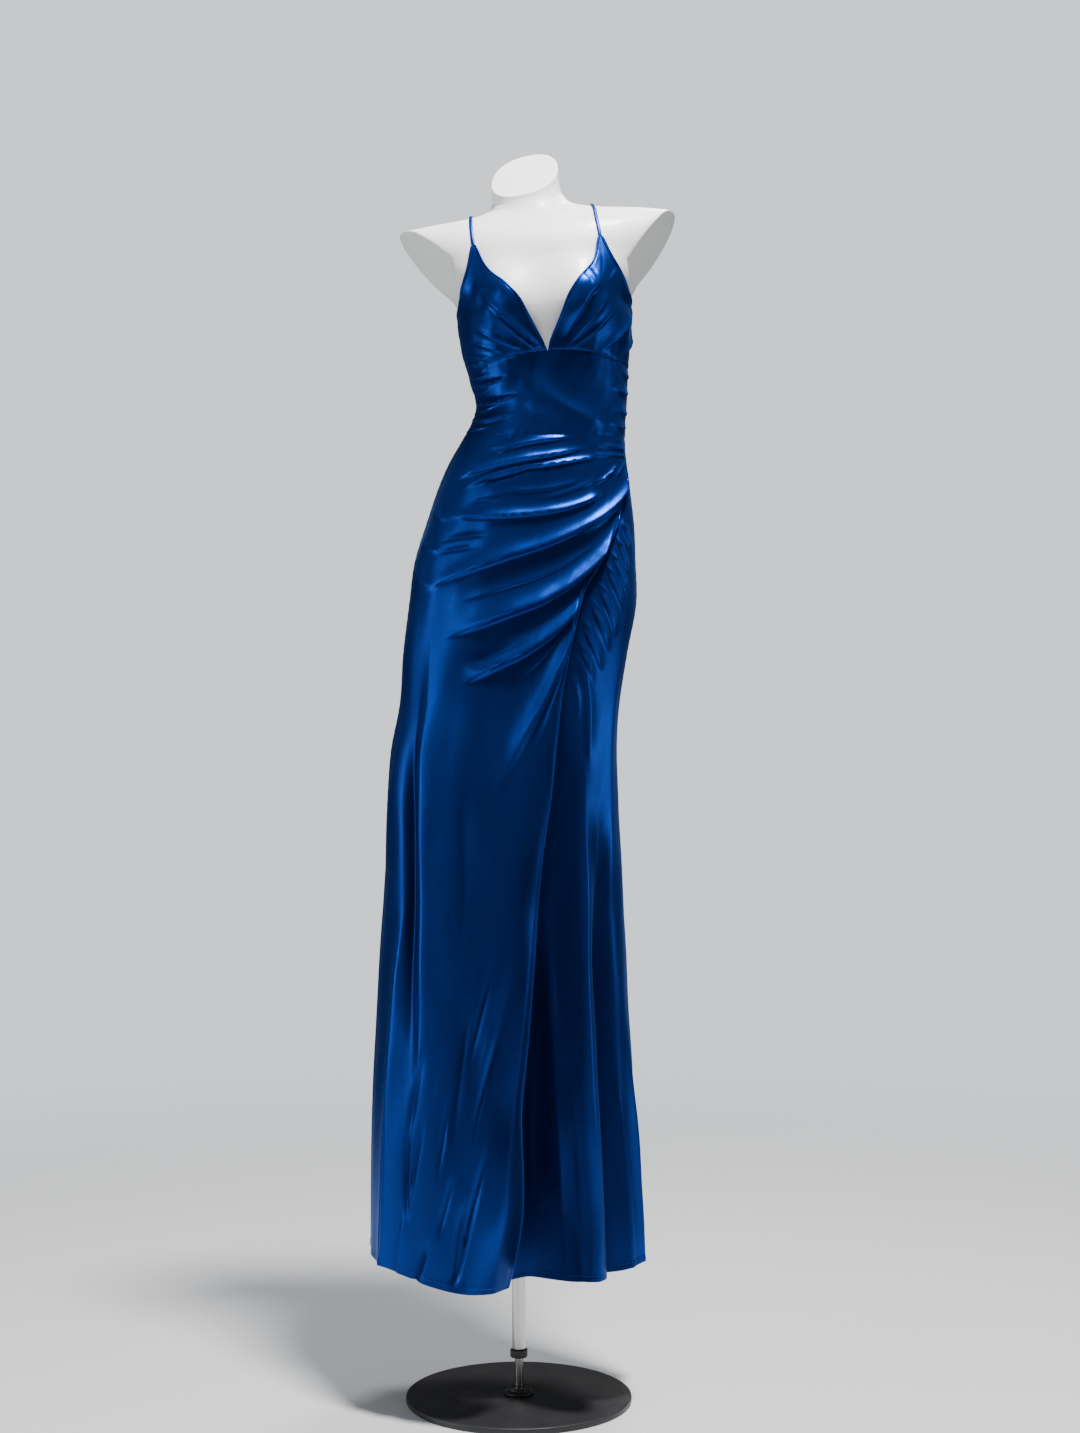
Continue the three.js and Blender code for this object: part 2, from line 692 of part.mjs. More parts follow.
function underPoint(s, t) {
  const middle = underRowHeight(t, 45);
  const edge = wrapEdgeAt(middle);
  const underlap = mix(UNDERLAP_ANGLE_AT_SLIT, UNDERLAP_ANGLE, smoothStep(860, 1100, middle));
  const angle = mix(edge - underlap, 90 - sideSeamAngle(WAIST_SEAM), s);
  const height = underRowHeight(t, angle);
  return liftedPoint(angle, height, underLift(angle, height));
}

function skirtBackPoint(side) {
  return (s, t) => {
    const near = 90 + sideSeamAngle(WAIST_SEAM);
    const far = 180 - centreSeamAngle(WAIST_SEAM);
    const angle = side > 0 ? mix(near, far, s) : mix(-far, -near, s);
    const height = mix(hemAt(angle), WAIST_SEAM - SEAM_GAP / 2, t);
    const hold = smoothStep(90, 96, Math.abs(angle)) * smoothStep(180, 175, Math.abs(angle));
    return liftedPoint(angle, height, hold * foldLift(backFolds, figurePoint(angle, height)));
  };
}

// Dress form

function formPoint(angle, height) {
  const share = ringShareAt(height);
  const point = figurePoint(angle, height, halfWidthAt(height), insetAt(height));
  const axis = placed(0, 0, height);
  return point.sub(axis).multiplyScalar(share).add(axis);
}

function armCutter(side) {
  const shift = side < 0 ? ARM_CUT.leftShift : 0;
  const top = placed(side * (ARM_CUT.topAcross - shift), 0, ARM_CUT.topHeight);
  const low = placed(side * (ARM_CUT.lowAcross - shift), 0, ARM_CUT.lowHeight);
  const along = top.clone().sub(low).normalize();
  const outward = new THREE.Vector3(side * along.z, 0, -side * along.x);
  outward.applyAxisAngle(new THREE.Vector3(0, 0, 1), -side * radians(ARM_CUT.turnToFront));
  const block = new THREE.BoxGeometry(ARM_CUT.block, ARM_CUT.block, ARM_CUT.block);
  const turn = new THREE.Quaternion().setFromUnitVectors(new THREE.Vector3(1, 0, 0), outward);
  const place = top.add(low).multiplyScalar(0.5).addScaledVector(outward, ARM_CUT.block / 2);
  return block.applyQuaternion(turn).translate(...place.toArray());
}

function dressForm() {
  const rings = FORM_RINGS.height.map((height) => (
    Array.from({ length: FORM_COLUMN_COUNT }, (_, k) => formPoint((360 * k) / FORM_COLUMN_COUNT - 180, height))
  ));
  const torso = solidOf(meshFromRings(rings));
  return geometryOfSolid(torso.subtract(solidOf(armCutter(1))).subtract(solidOf(armCutter(-1))));
}

// Straps

function isInsideForm(across, depth, height) {
  if (Math.abs(across) >= halfWidthAt(height) - insetAt(height)) return false;
  const limit = depthAt(across, height, depth < 0, insetAt(height));
  return Math.abs(depth) < Math.abs(limit);
}

// The form's surface along a ray from the strap's axis: bearing 0 is up and 90 is to the back
function formSurfaceAt(across, bearing) {
  let low = 0;
  let high = STRAP_RAY;
  const outDepth = Math.sin(radians(bearing));
  const outHeight = Math.cos(radians(bearing));
  for (let i = 0; i < 40; i += 1) {
    const distance = (low + high) / 2;
    if (isInsideForm(across, outDepth * distance, STRAP_AXIS_HEIGHT + outHeight * distance)) low = distance;
    else high = distance;
  }
  return { depth: outDepth * low, height: STRAP_AXIS_HEIGHT + outHeight * low };
}

function strapRoute(side) {
  const frontTop = CUP_TOP + STRAP_END_GAP;
  const front = depthAt(STRAP.frontAcross, frontTop, true, 0);
  const backAngle = 180 - angleOfAcross(STRAP.backAcross, BACK_NECKLINE_LOW + STRAP_BACK_RISE);
  const backTop = backNecklineAt(backAngle) + STRAP_END_GAP;
  const back = depthAt(STRAP.backAcross, backTop, false, 0);
  const from = degrees(Math.atan2(front, frontTop - STRAP_AXIS_HEIGHT));
  const to = degrees(Math.atan2(back, backTop - STRAP_AXIS_HEIGHT));
  return (t, shift = 0) => {
    const bearing = mix(from, to, t);
    const low = smoothStep(60, to, bearing);
    const high = smoothStep(from, 0, bearing);
    const across = mix(mix(STRAP.frontAcross, STRAP.shoulderAcross, high), STRAP.backAcross, low) + shift;
    const { depth, height } = formSurfaceAt(across, bearing);
    const lift = STRAP_SHOULDER_LIFT * high * smoothStep(90, 50, bearing) + STRAP_BACK_LIFT * smoothStep(110, to, bearing);
    return { place: placed(side * across, depth, height), lift };
  };
}

function strapGeometry(side) {
  const route = strapRoute(side);
  const rings = [];
  for (let i = 0; i <= STRAP.steps; i += 1) {
    const t = i / STRAP.steps;
    const { place, lift } = route(t);
    const along = route(t + 0.004).place.sub(route(t - 0.004).place).normalize();
    const sideways = route(t, 1).place.sub(route(t, -1).place);
    sideways.addScaledVector(along, -sideways.dot(along)).normalize();
    const outward = along.clone().cross(sideways).normalize();
    if (outward.dot(place.clone().sub(placed(side * STRAP.shoulderAcross, 0, STRAP_AXIS_HEIGHT))) < 0) outward.negate();
    place.addScaledVector(outward, STRAP.thickness / 2 + REST_GAP + lift);
    rings.push(Array.from({ length: STRAP.sides }, (_, k) => {
      const turn = (-side * 2 * Math.PI * k) / STRAP.sides;
      return place.clone().addScaledVector(sideways, (STRAP.width / 2) * Math.cos(turn))
        .addScaledVector(outward, (STRAP.thickness / 2) * Math.sin(turn));
    }));
  }
  return meshFromRings(rings);
}

// Zip, made about its hinge pin and then placed at the centre back

function box(width, depth, height, x, y, z) {
  return new THREE.BoxGeometry(width, depth, height).translate(x, y, z);
}

function zipSlider() {
  const body = box(ZIP.sliderWidth, ZIP.sliderThickness, ZIP.sliderLength,
    0, -ZIP.pinStand - ZIP.sliderThickness / 2, 0);
  const postX = ZIP.neckWidth / 2 + RUNNING_GAP + ZIP.postWidth / 2;
  const postDepth = ZIP.pinStand + ZIP.sliderThickness / 2 + ZIP.pinRadius;
  const post = (x) => box(ZIP.postWidth, postDepth, ZIP.postLength, x, ZIP.pinRadius - postDepth / 2, 0);
  const pin = new THREE.CylinderGeometry(ZIP.pinRadius, ZIP.pinRadius, 2 * postX, 8).rotateZ(Math.PI / 2);
  return geometryOfSolid(solidOf(body).add(solidOf(post(postX))).add(solidOf(post(-postX))).add(solidOf(pin)));
}

function zipPull() {
  const half = ZIP.pullWidth / 2;
  const neck = ZIP.neckWidth / 2;
  const eyeHalf = ZIP.pinRadius + RUNNING_GAP;
  const loopHalf = eyeHalf + ZIP.eyeWall;
  const outline = new THREE.Shape();
  outline.moveTo(-neck, -eyeHalf);
  outline.lineTo(-neck, -2 * loopHalf);
  outline.lineTo(-half, half - ZIP.pullLength + 2);
  outline.absarc(0, half - ZIP.pullLength, half, Math.PI, 2 * Math.PI, false);
  outline.lineTo(half, half - ZIP.pullLength + 2);
  outline.lineTo(neck, -2 * loopHalf);
  outline.lineTo(neck, -eyeHalf);
  const plate = new THREE.ExtrudeGeometry(outline, { depth: ZIP.pullThickness, bevelEnabled: false, curveSegments: 6 });
  plate.translate(0, 0, -ZIP.pullThickness / 2).rotateX(Math.PI / 2);
  const loop = box(ZIP.neckWidth, 2 * loopHalf, 2 * loopHalf, 0, 0, 0);
  const eye = box(ZIP.neckWidth + 1, 2 * eyeHalf, 2 * eyeHalf, 0, 0, 0);
  return geometryOfSolid(solidOf(plate).add(solidOf(loop)).subtract(solidOf(eye)));
}

function zipGroup() {
  const height = ZIP.top - ZIP.sliderLength / 2;
  const place = figurePoint(180, height);
  const normal = crossOfSteps(figurePoint, 180, height, NORMAL_STEP);
  const stand = ZIP.pinStand + ZIP.sliderThickness + REST_GAP;
  const group = new THREE.Group();
  group.position.copy(place.addScaledVector(normal, stand));
  group.rotation.x = Math.atan2(normal.z, normal.y);
  group.add(named('zip_slider', zipSlider(), NICKEL), named('zip_pull', zipPull(), NICKEL));
  return group;
}

// Stand

function formSocket() {
  const top = FORM_BOTTOM - REST_GAP;
  const under = top - SOCKET.flangeThickness;
  const low = under - SOCKET.sleeveLength;
  const bore = TUBE.radius + RUNNING_GAP;
  return turned([[0, under], [bore, under], [bore, low], [SOCKET.sleeveRadius, low], [SOCKET.sleeveRadius, under],
    [SOCKET.flangeRadius, under], [SOCKET.flangeRadius, top], [0, top]]);
}

function upperTube() {
  const top = FORM_BOTTOM - REST_GAP - SOCKET.flangeThickness - REST_GAP;
  return turned([[TUBE.bore, TUBE.bottom], [TUBE.radius, TUBE.bottom], [TUBE.radius, top], [TUBE.bore, top],
    [TUBE.bore, TUBE.bottom]]);
}

function collar() {
  const bore = ROD.radius + RUNNING_GAP;
  const top = COLLAR.bottom + COLLAR.height;
  const chamfer = COLLAR.chamfer;
  return turned([[bore, COLLAR.bottom], [COLLAR.radius - chamfer, COLLAR.bottom],
    [COLLAR.radius, COLLAR.bottom + chamfer], [COLLAR.radius, top - chamfer], [COLLAR.radius - chamfer, top],
    [bore, top], [bore, COLLAR.bottom]]);
}

function lowerRod() {
  const bottom = PLATE.thickness + REST_GAP;
  return turned([[0, bottom], [ROD.radius, bottom], [ROD.radius, ROD.top], [0, ROD.top]]);
}

function baseHub() {
  const bore = ROD.radius + RUNNING_GAP;
  const bottom = PLATE.thickness + REST_GAP;
  return turned([[bore, bottom], [HUB.radius, bottom], [HUB.radius, bottom + 3], [HUB.neckRadius, bottom + 6],
    [HUB.neckRadius, HUB.top], [bore, HUB.top], [bore, bottom]]);
}

function basePlate() {
  return turned([[0, 0], [PLATE.radius, 0], [PLATE.radius, PLATE.thickness - PLATE.edge],
    [PLATE.radius - PLATE.edge, PLATE.thickness], [0, PLATE.thickness]], PLATE_SEGMENTS);
}

const gown = new THREE.Group();
gown.add(
  named('cup_left', wallGeometry(cupPoint(-1), 12, 13), SATIN),
  named('cup_right', wallGeometry(cupPoint(1), 12, 13), SATIN),
  named('bodice_front', wallGeometry(bodiceFrontPoint, 24, 9), SATIN),
  named('bodice_back_left', wallGeometry(bodiceBackPoint(-1), 8, 6), SATIN),
  named('bodice_back_right', wallGeometry(bodiceBackPoint(1), 8, 6), SATIN),
  named('skirt_front_wrap', wallGeometry(wrapPoint, WRAP_COLUMN_COUNT, WRAP_ROW_COUNT), SATIN),
  named('skirt_front_under', wallGeometry(underPoint, 16, 34), SATIN),
  named('skirt_back_left', wallGeometry(skirtBackPoint(-1), 12, 16), SATIN),
  named('skirt_back_right', wallGeometry(skirtBackPoint(1), 12, 16), SATIN),
  named('strap_left', strapGeometry(-1), SATIN),
  named('strap_right', strapGeometry(1), SATIN),
  zipGroup(),
  named('dress_form', dressForm(), FORM_WHITE),
  named('form_socket', formSocket(), STEEL),
  named('upper_tube', upperTube(), STEEL),
  named('collar', collar(), BLACK_METAL),
  named('lower_rod', lowerRod(), STEEL),
  named('base_hub', baseHub(), BLACK_METAL),
  named('base_plate', basePlate(), BLACK_METAL),
);

export default gown;
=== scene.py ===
"""Satin wrap evening gown on a limbless dress form with its stand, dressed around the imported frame.

Tables and working values are millimetres and degrees, and a mesh is written in metres. Up is +Z, the
gown's front faces -Y, and the origin is the middle of the base plate's underside.
"""
import math

import bmesh
import bpy
import numpy as np
from mathutils import Matrix, Vector


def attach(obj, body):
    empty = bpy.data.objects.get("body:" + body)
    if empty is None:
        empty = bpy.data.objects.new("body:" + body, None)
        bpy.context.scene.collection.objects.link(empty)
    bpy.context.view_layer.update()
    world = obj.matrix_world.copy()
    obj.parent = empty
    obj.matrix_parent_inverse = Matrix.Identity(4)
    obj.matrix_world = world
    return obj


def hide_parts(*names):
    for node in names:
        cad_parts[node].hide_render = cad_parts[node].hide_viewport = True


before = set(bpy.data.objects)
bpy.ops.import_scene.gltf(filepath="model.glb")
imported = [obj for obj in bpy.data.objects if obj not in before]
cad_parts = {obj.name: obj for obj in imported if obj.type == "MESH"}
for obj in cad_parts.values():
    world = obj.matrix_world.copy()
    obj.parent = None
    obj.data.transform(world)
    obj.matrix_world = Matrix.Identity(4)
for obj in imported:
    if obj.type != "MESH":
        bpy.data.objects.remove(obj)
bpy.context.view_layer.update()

MM = 0.001
# Faces that meet at less than so many degrees are shaded as one
CLOTH_SMOOTH = 50
TURNED_SMOOTH = 40


def columns(names, rows):
    """A table as one array for each named column."""
    return dict(zip(names.split(), np.array(rows, float).T))


def named_rows(names, rows):
    return [dict(zip(names.split(), row)) for row in rows]


# The figure: rounded oval sections whose front and back depths differ. The cloth lies on it, and the
# dress form is the same figure made smaller by the inset.
ROUNDNESS = 2.25
CHEST_REACH = 124
CHEST_REACH_FROM = 1545
FIGURE = columns("height middle half_width front back inset", [
    (188, -17, 192, 158, 178, 6),
    (280, -19, 190, 154, 174, 6),
    (425, -22, 184, 146, 166, 6),
    (600, -22, 175, 136, 154, 6),
    (750, -21, 168, 124, 142, 6),
    (850, -23, 164, 114, 132, 6),
    (920, -21, 160, 107, 126, 6),
    (990, -13, 156, 101, 123, 12),
    (1060, -5, 159, 99, 124, 9),
    (1135, 6, 161, 98, 130, 6),
    (1190, 9, 157, 98, 131, 6),
    (1250, 17, 146, 97, 120, 6),
    (1300, 23, 134, 94, 102, 6),
    (1349, 31, 119, 91, 84, 6),
    (1380, 40, 111, 89, 76, 6),
    (1410, 46, 107, 88, 73, 6),
    (1450, 43, 112, 92, 78, 6),
    (1490, 39, 119, 98, 88, 6),
    (1530, 37, 124, 102, 95, 6),
    (1545, 36, 124, 102, 96, 6),
    (1575, 33, 150, 98, 96, 5.4),
    (1605, 29, 182, 92, 94, 4.6),
    (1635, 25, 208, 84, 90, 3),
    (1658, 22, 216, 73, 85, 2.6),
    (1670, 20.5, 200, 63, 79, 1.2),
    (1677, 20, 158, 59, 73, 0.4),
    (1683, 19, 103, 56, 68, 0),
    (1690, 16.5, 66, 53.5, 63, 0),
    (1702, 12.5, 51, 50.5, 58, 0),
    (1718, 9.5, 47.5, 48.5, 54, 0),
    (1738, 8, 47, 48, 53, 0),
])
# How far each level leans: tilt lifts its +X side, slant lifts its back, for one millimetre across
LEAN = columns("height tilt slant", [
    (1330, 0, 0),
    (1400, 0.028, 0),
    (1500, 0.0787, 0),
    (1600, 0.0787, 0),
    (1658, 0.0787, 0.08),
    (1683, 0.1, 0.16),
    (1702, 0.14, 0.3),
    (1718, 0.19, 0.5),
    (1738, 0.25, 0.78),
])
BUST = dict(across=58, height=1548, rise=24, spread=45, face=0.45)

# Cloth and seams
WALL = 0.9
CREST_HEIGHT = 9
SEAM_GAP = 0.02
REST_GAP = 0.35
WAIST_SEAM = 1360
UNDERBUST_AT_SIDE = 1455
UNDERBUST_RISE = 19
ARMHOLE_BASE = 1540
BACK_NECKLINE_LOW = 1415
BACK_NECKLINE_SCOOP = 2.2
# Near a seam the folds are held flat: over so many millimetres, or degrees at the sides and the back
SEAM_HOLD = 10
WAIST_HOLD = 5
SIDE_HOLD = 5
SKIRT_FRONT_HOLD = 3
CENTRE_HOLD = 4
BACK_HOLD = dict(seam=12, neckline=14)
WAIST_SINK = 0.25
PRESS = dict(sink=0.8, width=2.4, pucker=0.22, pucker_pitch=15, pucker_reach=11)
TURNING = dict(depth=2.4, width=1.6)
# A turned edge falls off beyond its width, and its sewn groove is a share of its rise
TURNED_EDGE = dict(fall=0.9, groove_place=0.6, groove_width=0.7, groove_share=0.35)
NECKLINE_EDGE = dict(width=2.2, rise=0.8)
BACK_NECKLINE_EDGE = dict(width=2.4, rise=0.7)
ZIP_EDGE = dict(width=3, rise=0.6)
WRAP_SLIT_EDGE = dict(width=3, rise=0.9)
HEM_EDGE = dict(width=7, rise=0.6)
ZIP_END = dict(low=1170, high=1190)
HEM = columns("angle height", [
    (-180, 196), (-90, 213), (-60, 212), (-45, 206), (-30, 196), (-15, 189), (0, 189), (10, 196), (20, 198),
    (60, 201), (90, 212), (180, 196),
])
NECKLINE = columns("height across", [
    (1440, 0.2), (1474, 0.2), (1505, 14), (1525, 24), (1545, 34), (1566, 50), (1590, 71), (1632, 85),
])
ARMHOLE = columns("height across", [(1550, 120), (1570, 113), (1600, 100), (1632, 90.6)])
ARMHOLE_TURN = dict(seam_below=6, edge_above=14, roll_above=12)
CUP_TOP = 1632
POINT_TURN = dict(low=1474, high=1482)

# The wrap panel's free edge follows the gather line down to the slit, then the slit
WRAP_EDGE = columns("height angle", [
    (180, 1), (216, 3.6), (281, 7), (343, 7.4), (419, 7.1), (513, 9.9), (629, 13.1), (750, 16.2), (866, 23),
    (938, 24.5), (1001, 24.6), (1062, 25.9), (1114, 26.8), (1145, 29.4), (1180, 39), (1244, 55.4), (1318, 81),
    (1345, 86), (1362, 88),
])
WRAP_ROWS = columns("row at_edge at_side", [
    (0, 1360, 1360), (4, 1332, 1300), (8, 1303, 1222), (14, 1250, 1130), (20, 1190, 1040), (26, 1120, 930),
    (31, 1020, 760), (36, 800, 560), (40, 480, 380), (44, 180, 200),
])
WRAP_FAN = 1.25
SLIT_TOP = 1000
SLIT_DEPTH = dict(at_hem=95, growth=1.3)
# Beside the slit the wrap rolls inwards, and where it overlaps the under panel it has no hollows
ROLL = dict(share=0.65, angle=17, limit=1.2)
OVERLAP = dict(angle=8, low=860, high=940)
# In the gather line the sewn folds keep a share of their rise
GATHER = dict(hold=9, share=0.3, fade=60)
# The under panel reaches so many degrees beneath the wrap, and comes up beyond the wrap's edge
UNDERLAP = dict(angle=9, angle_at_slit=24, low=860, high=1100, depth=3.2, start=0.5, end=6)
UNDER_SLIT = dict(start=2, end=38)
PLEAT_RISE_ANGLE = 10

# Folds. A crest runs from its start through its bend to its end, and a negative rise is a hollow. The
# gentle side lies left of that way, seen from outside. Its foot is the width, and the steep side's foot
# is the share "steep" of it. "pinch" is the share of the foot that is left at the crest's end, and
# "fade" the share of the crest over which the end sinks away.
FOLD = "start_angle start_height bend_angle bend_height end_angle end_height width rise steep pinch fade"
WRAP_FOLDS = named_rows(FOLD, [
    # Draped folds at the waist
    (-28, 1328, -6, 1348, 24, 1354, 8, 3, 0.35, 0.8, 0.4),
    (-62, 1296, -12, 1323, 36, 1343, 13, 5, 0.3, 0.5, 0.35),
    (-44, 1285, -4, 1313, 56, 1336, 8, 3.6, 0.35, 0.6, 0.3),
    (-30, 1288, -12, 1303, 4, 1318, 6, -2.6, 0.6, 1, 0.3),
    (-34, 1341, -14, 1346, 6, 1350, 5, 1.6, 0.5, 1, 0.3),
    (34, 1346, 56, 1346, 82, 1344, 6, 2.2, 0.5, 0.6, 0.2),
    (28, 1332, 52, 1334, 84, 1336, 5, 2, 0.5, 0.6, 0.2),
    # Folds of the hip, gathered at the right
    (-54, 1250, 1, 1250, 42, 1283, 14, 5.5, 0.26, 0.6, 0.15),
    (-26, 1280, 4, 1283, 28, 1300, 8, 2.2, 0.5, 1, 0.3),
    (2, 1268, 18, 1280, 40, 1302, 7, 1.8, 0.5, 1, 0.3),
    (33, 1289, 47, 1305, 60, 1323, 5, 3, 0.4, 0.7, 0.15),
    (54, 1300, 63, 1314, 77, 1331, 5, 3, 0.4, 0.7, 0.12),
    (-62, 1144, 9, 1209, 80, 1311, 22, 9, 0.24, 0.35, 0.12),
    (-34, 1126, 4, 1160, 40, 1218, 10, 2.8, 0.5, 0.7, 0.2),
    (20, 1216, 42, 1246, 66, 1290, 8, 2.6, 0.5, 0.6, 0.15),
    (-40, 1074, 16, 1144, 59, 1250, 27, 14, 0.2, 0.28, 0.04),
    (4, 1086, 26, 1140, 50, 1216, 9, 3.4, 0.5, 0.5, 0.08),
    (-28, 1006, 13, 1080, 35, 1164, 26, 13.5, 0.2, 0.28, 0.04),
    (-2, 1012, 15, 1062, 31, 1136, 9, 3, 0.5, 0.5, 0.08),
    (-5, 846, 19, 1022, 29, 1124, 24, 12, 0.22, 0.3, 0.05),
    (10, 900, 19, 990, 27, 1080, 9, 3, 0.5, 0.6, 0.08),
    # Creases at the left hip
    (-80, 1268, -62, 1250, -44, 1244, 9, 1.8, 0.6, 1, 0.4),
    (-82, 1226, -62, 1206, -44, 1200, 9, 1.6, 0.6, 1, 0.4),
    (-78, 1180, -62, 1158, -46, 1150, 10, 1.8, 0.6, 1, 0.4),
    (-50, 1212, -33, 1219, -16, 1220, 6, -2, 0.7, 1, 0.4),
    (-36, 1265, -22, 1269, -10, 1270, 5, -1.6, 0.7, 1, 0.4),
    (-50, 1196, -36, 1201, -22, 1203, 5, -1.4, 0.7, 1, 0.4),
    (-26, 1042, -8, 1054, 5, 1075, 17, -5, 0.8, 1, 0.4),
    # Long folds of the skirt
    (-46, 1120, -38, 800, -35, 380, 40, 13, 0.4, 1, 0.35),
    (-50, 1040, -48, 740, -41, 500, 24, -14, 0.8, 1, 0.35),
    (-52, 760, -55, 500, -64, 90, 28, 9, 0.6, 1, 0.15),
    (-57, 450, -60, 330, -61, 205, 7, -4, 0.6, 1, 0.2),
    (14, 720, 4, 430, -7, 60, 44, 18, 0.7, 1, 0.1),
    (-2, 640, -8, 560, -14, 470, 9, -5, 0.5, 1, 0.4),
    (-11, 610, -16, 490, -20, 370, 15, -5, 0.8, 1, 0.4),
    (7, 690, -2, 560, -9, 430, 15, 5, 0.7, 1, 0.35),
    (2, 566, -6, 465, -11, 380, 5.5, -4.4, 0.6, 1, 0.35),
    (-3, 400, -11, 300, -19, 190, 7, -6, 0.5, 1, 0.15),
    (-13, 310, -17, 262, -19, 196, 10, -5, 0.5, 1, 0.1),
    (-18, 352, -22, 307, -26, 262, 7, -4, 0.5, 1, 0.3),
    (-20, 466, -23, 401, -27, 330, 7, -3.5, 0.6, 1, 0.4),
    (-31, 520, -38, 455, -42, 380, 8, -3.2, 0.6, 1, 0.4),
    (-41, 420, -43, 345, -41, 262, 7, -3.6, 0.6, 1, 0.4),
    (-32, 424, -38, 360, -41, 296, 6, -4, 0.6, 1, 0.4),
    (-30, 256, -35, 224, -40, 190, 8, -6, 0.6, 1, 0.1),
    (-42, 300, -46, 246, -48, 180, 12, 3, 0.7, 1, 0.1),
    (-20, 900, -16, 760, -18, 600, 18, -3, 0.9, 1, 0.4),
])
UNDER_FOLDS = named_rows(FOLD, [
    # Small pleats held in the gather line
    (58, 1246, 63, 1226, 72, 1198, 9, 6, 0.35, 1, 0.4),
    (51, 1226, 57, 1200, 66, 1166, 9, 6.5, 0.35, 1, 0.4),
    (46, 1204, 54, 1176, 65, 1134, 9, 7, 0.35, 1, 0.4),
    (42, 1186, 50, 1156, 60, 1112, 9, 6.5, 0.35, 1, 0.4),
    (36, 1162, 46, 1126, 59, 1076, 10, 7.5, 0.35, 1, 0.4),
    (31, 1138, 42, 1104, 54, 1056, 9, 7, 0.35, 1, 0.4),
    (28, 1112, 38, 1078, 51, 1028, 10, 7.5, 0.35, 1, 0.4),
    (27, 1084, 36, 1052, 46, 1004, 10, 6.5, 0.35, 1, 0.4),
    (28, 1060, 41, 1000, 48, 880, 13, 6, 0.5, 1, 0.4),
    (27, 1036, 33, 1004, 38, 960, 8, 3, 0.5, 1, 0.4),
    # Long folds down to the hem
    (29, 60, 25, 448, 20, 740, 22, 10, 0.6, 1, 0.35),
    (25, 560, 32, 420, 40, 150, 6, 3.4, 0.7, 1, 0.1),
    (28, 520, 31, 380, 33, 60, 9, -4, 0.7, 1, 0.1),
    (40, 60, 40, 560, 44, 940, 34, 12, 0.6, 1, 0.35),
    (52, 870, 55, 500, 55, 60, 32, -33, 0.9, 1, 0.1),
    (76, 560, 77, 340, 76, 60, 26, 9, 0.6, 1, 0.1),
    (64, 470, 68, 330, 66, 60, 11, 3, 0.7, 1, 0.1),
    (29, 420, 30, 300, 33, 60, 9, 3, 0.7, 1, 0.1),
    (70, 1120, 66, 900, 62, 640, 22, 4, 0.8, 1, 0.3),
])
BACK_FOLDS = named_rows(FOLD, [
    (112, 930, 109, 560, 107, 60, 40, 12, 0.6, 1, 0.1),
    (131, 820, 133, 500, 134, 60, 32, -12, 0.8, 1, 0.1),
    (148, 980, 151, 600, 153, 60, 42, 15, 0.6, 1, 0.1),
    (169, 760, 167, 460, 168, 60, 30, -11, 0.8, 1, 0.1),
    (140, 520, 142, 330, 141, 60, 14, 4, 0.7, 1, 0.1),
    (120, 480, 121, 320, 119, 60, 14, 4, 0.7, 1, 0.1),
    (160, 560, 160, 380, 161, 60, 13, 3.5, 0.7, 1, 0.1),
    (96, 1322, 126, 1306, 160, 1316, 9, 2.6, 0.5, 1, 0.3),
    (96, 1290, 128, 1262, 162, 1270, 12, 3.6, 0.4, 1, 0.3),
    (95, 1246, 122, 1216, 150, 1222, 13, 3.4, 0.4, 1, 0.3),
    (95, 1196, 116, 1168, 138, 1170, 12, 2.4, 0.5, 1, 0.3),
    (-108, 900, -105, 540, -104, 60, 38, 11, 0.6, 1, 0.1),
    (-127, 860, -128, 500, -131, 60, 34, -13, 0.8, 1, 0.1),
    (-145, 960, -149, 560, -150, 60, 44, 14, 0.6, 1, 0.1),
    (-167, 800, -168, 480, -166, 60, 28, -10, 0.8, 1, 0.1),
    (-118, 500, -119, 340, -118, 60, 13, 4, 0.7, 1, 0.1),
    (-138, 540, -139, 360, -140, 60, 14, 3.5, 0.7, 1, 0.1),
    (-97, 1318, -122, 1304, -158, 1312, 9, 2.2, 0.5, 1, 0.3),
    (-97, 1280, -124, 1252, -160, 1262, 13, 3.4, 0.4, 1, 0.3),
    (-96, 1236, -118, 1208, -146, 1216, 12, 3, 0.4, 1, 0.3),
    (-95, 1180, -114, 1156, -134, 1160, 12, 2.2, 0.5, 1, 0.3),
])
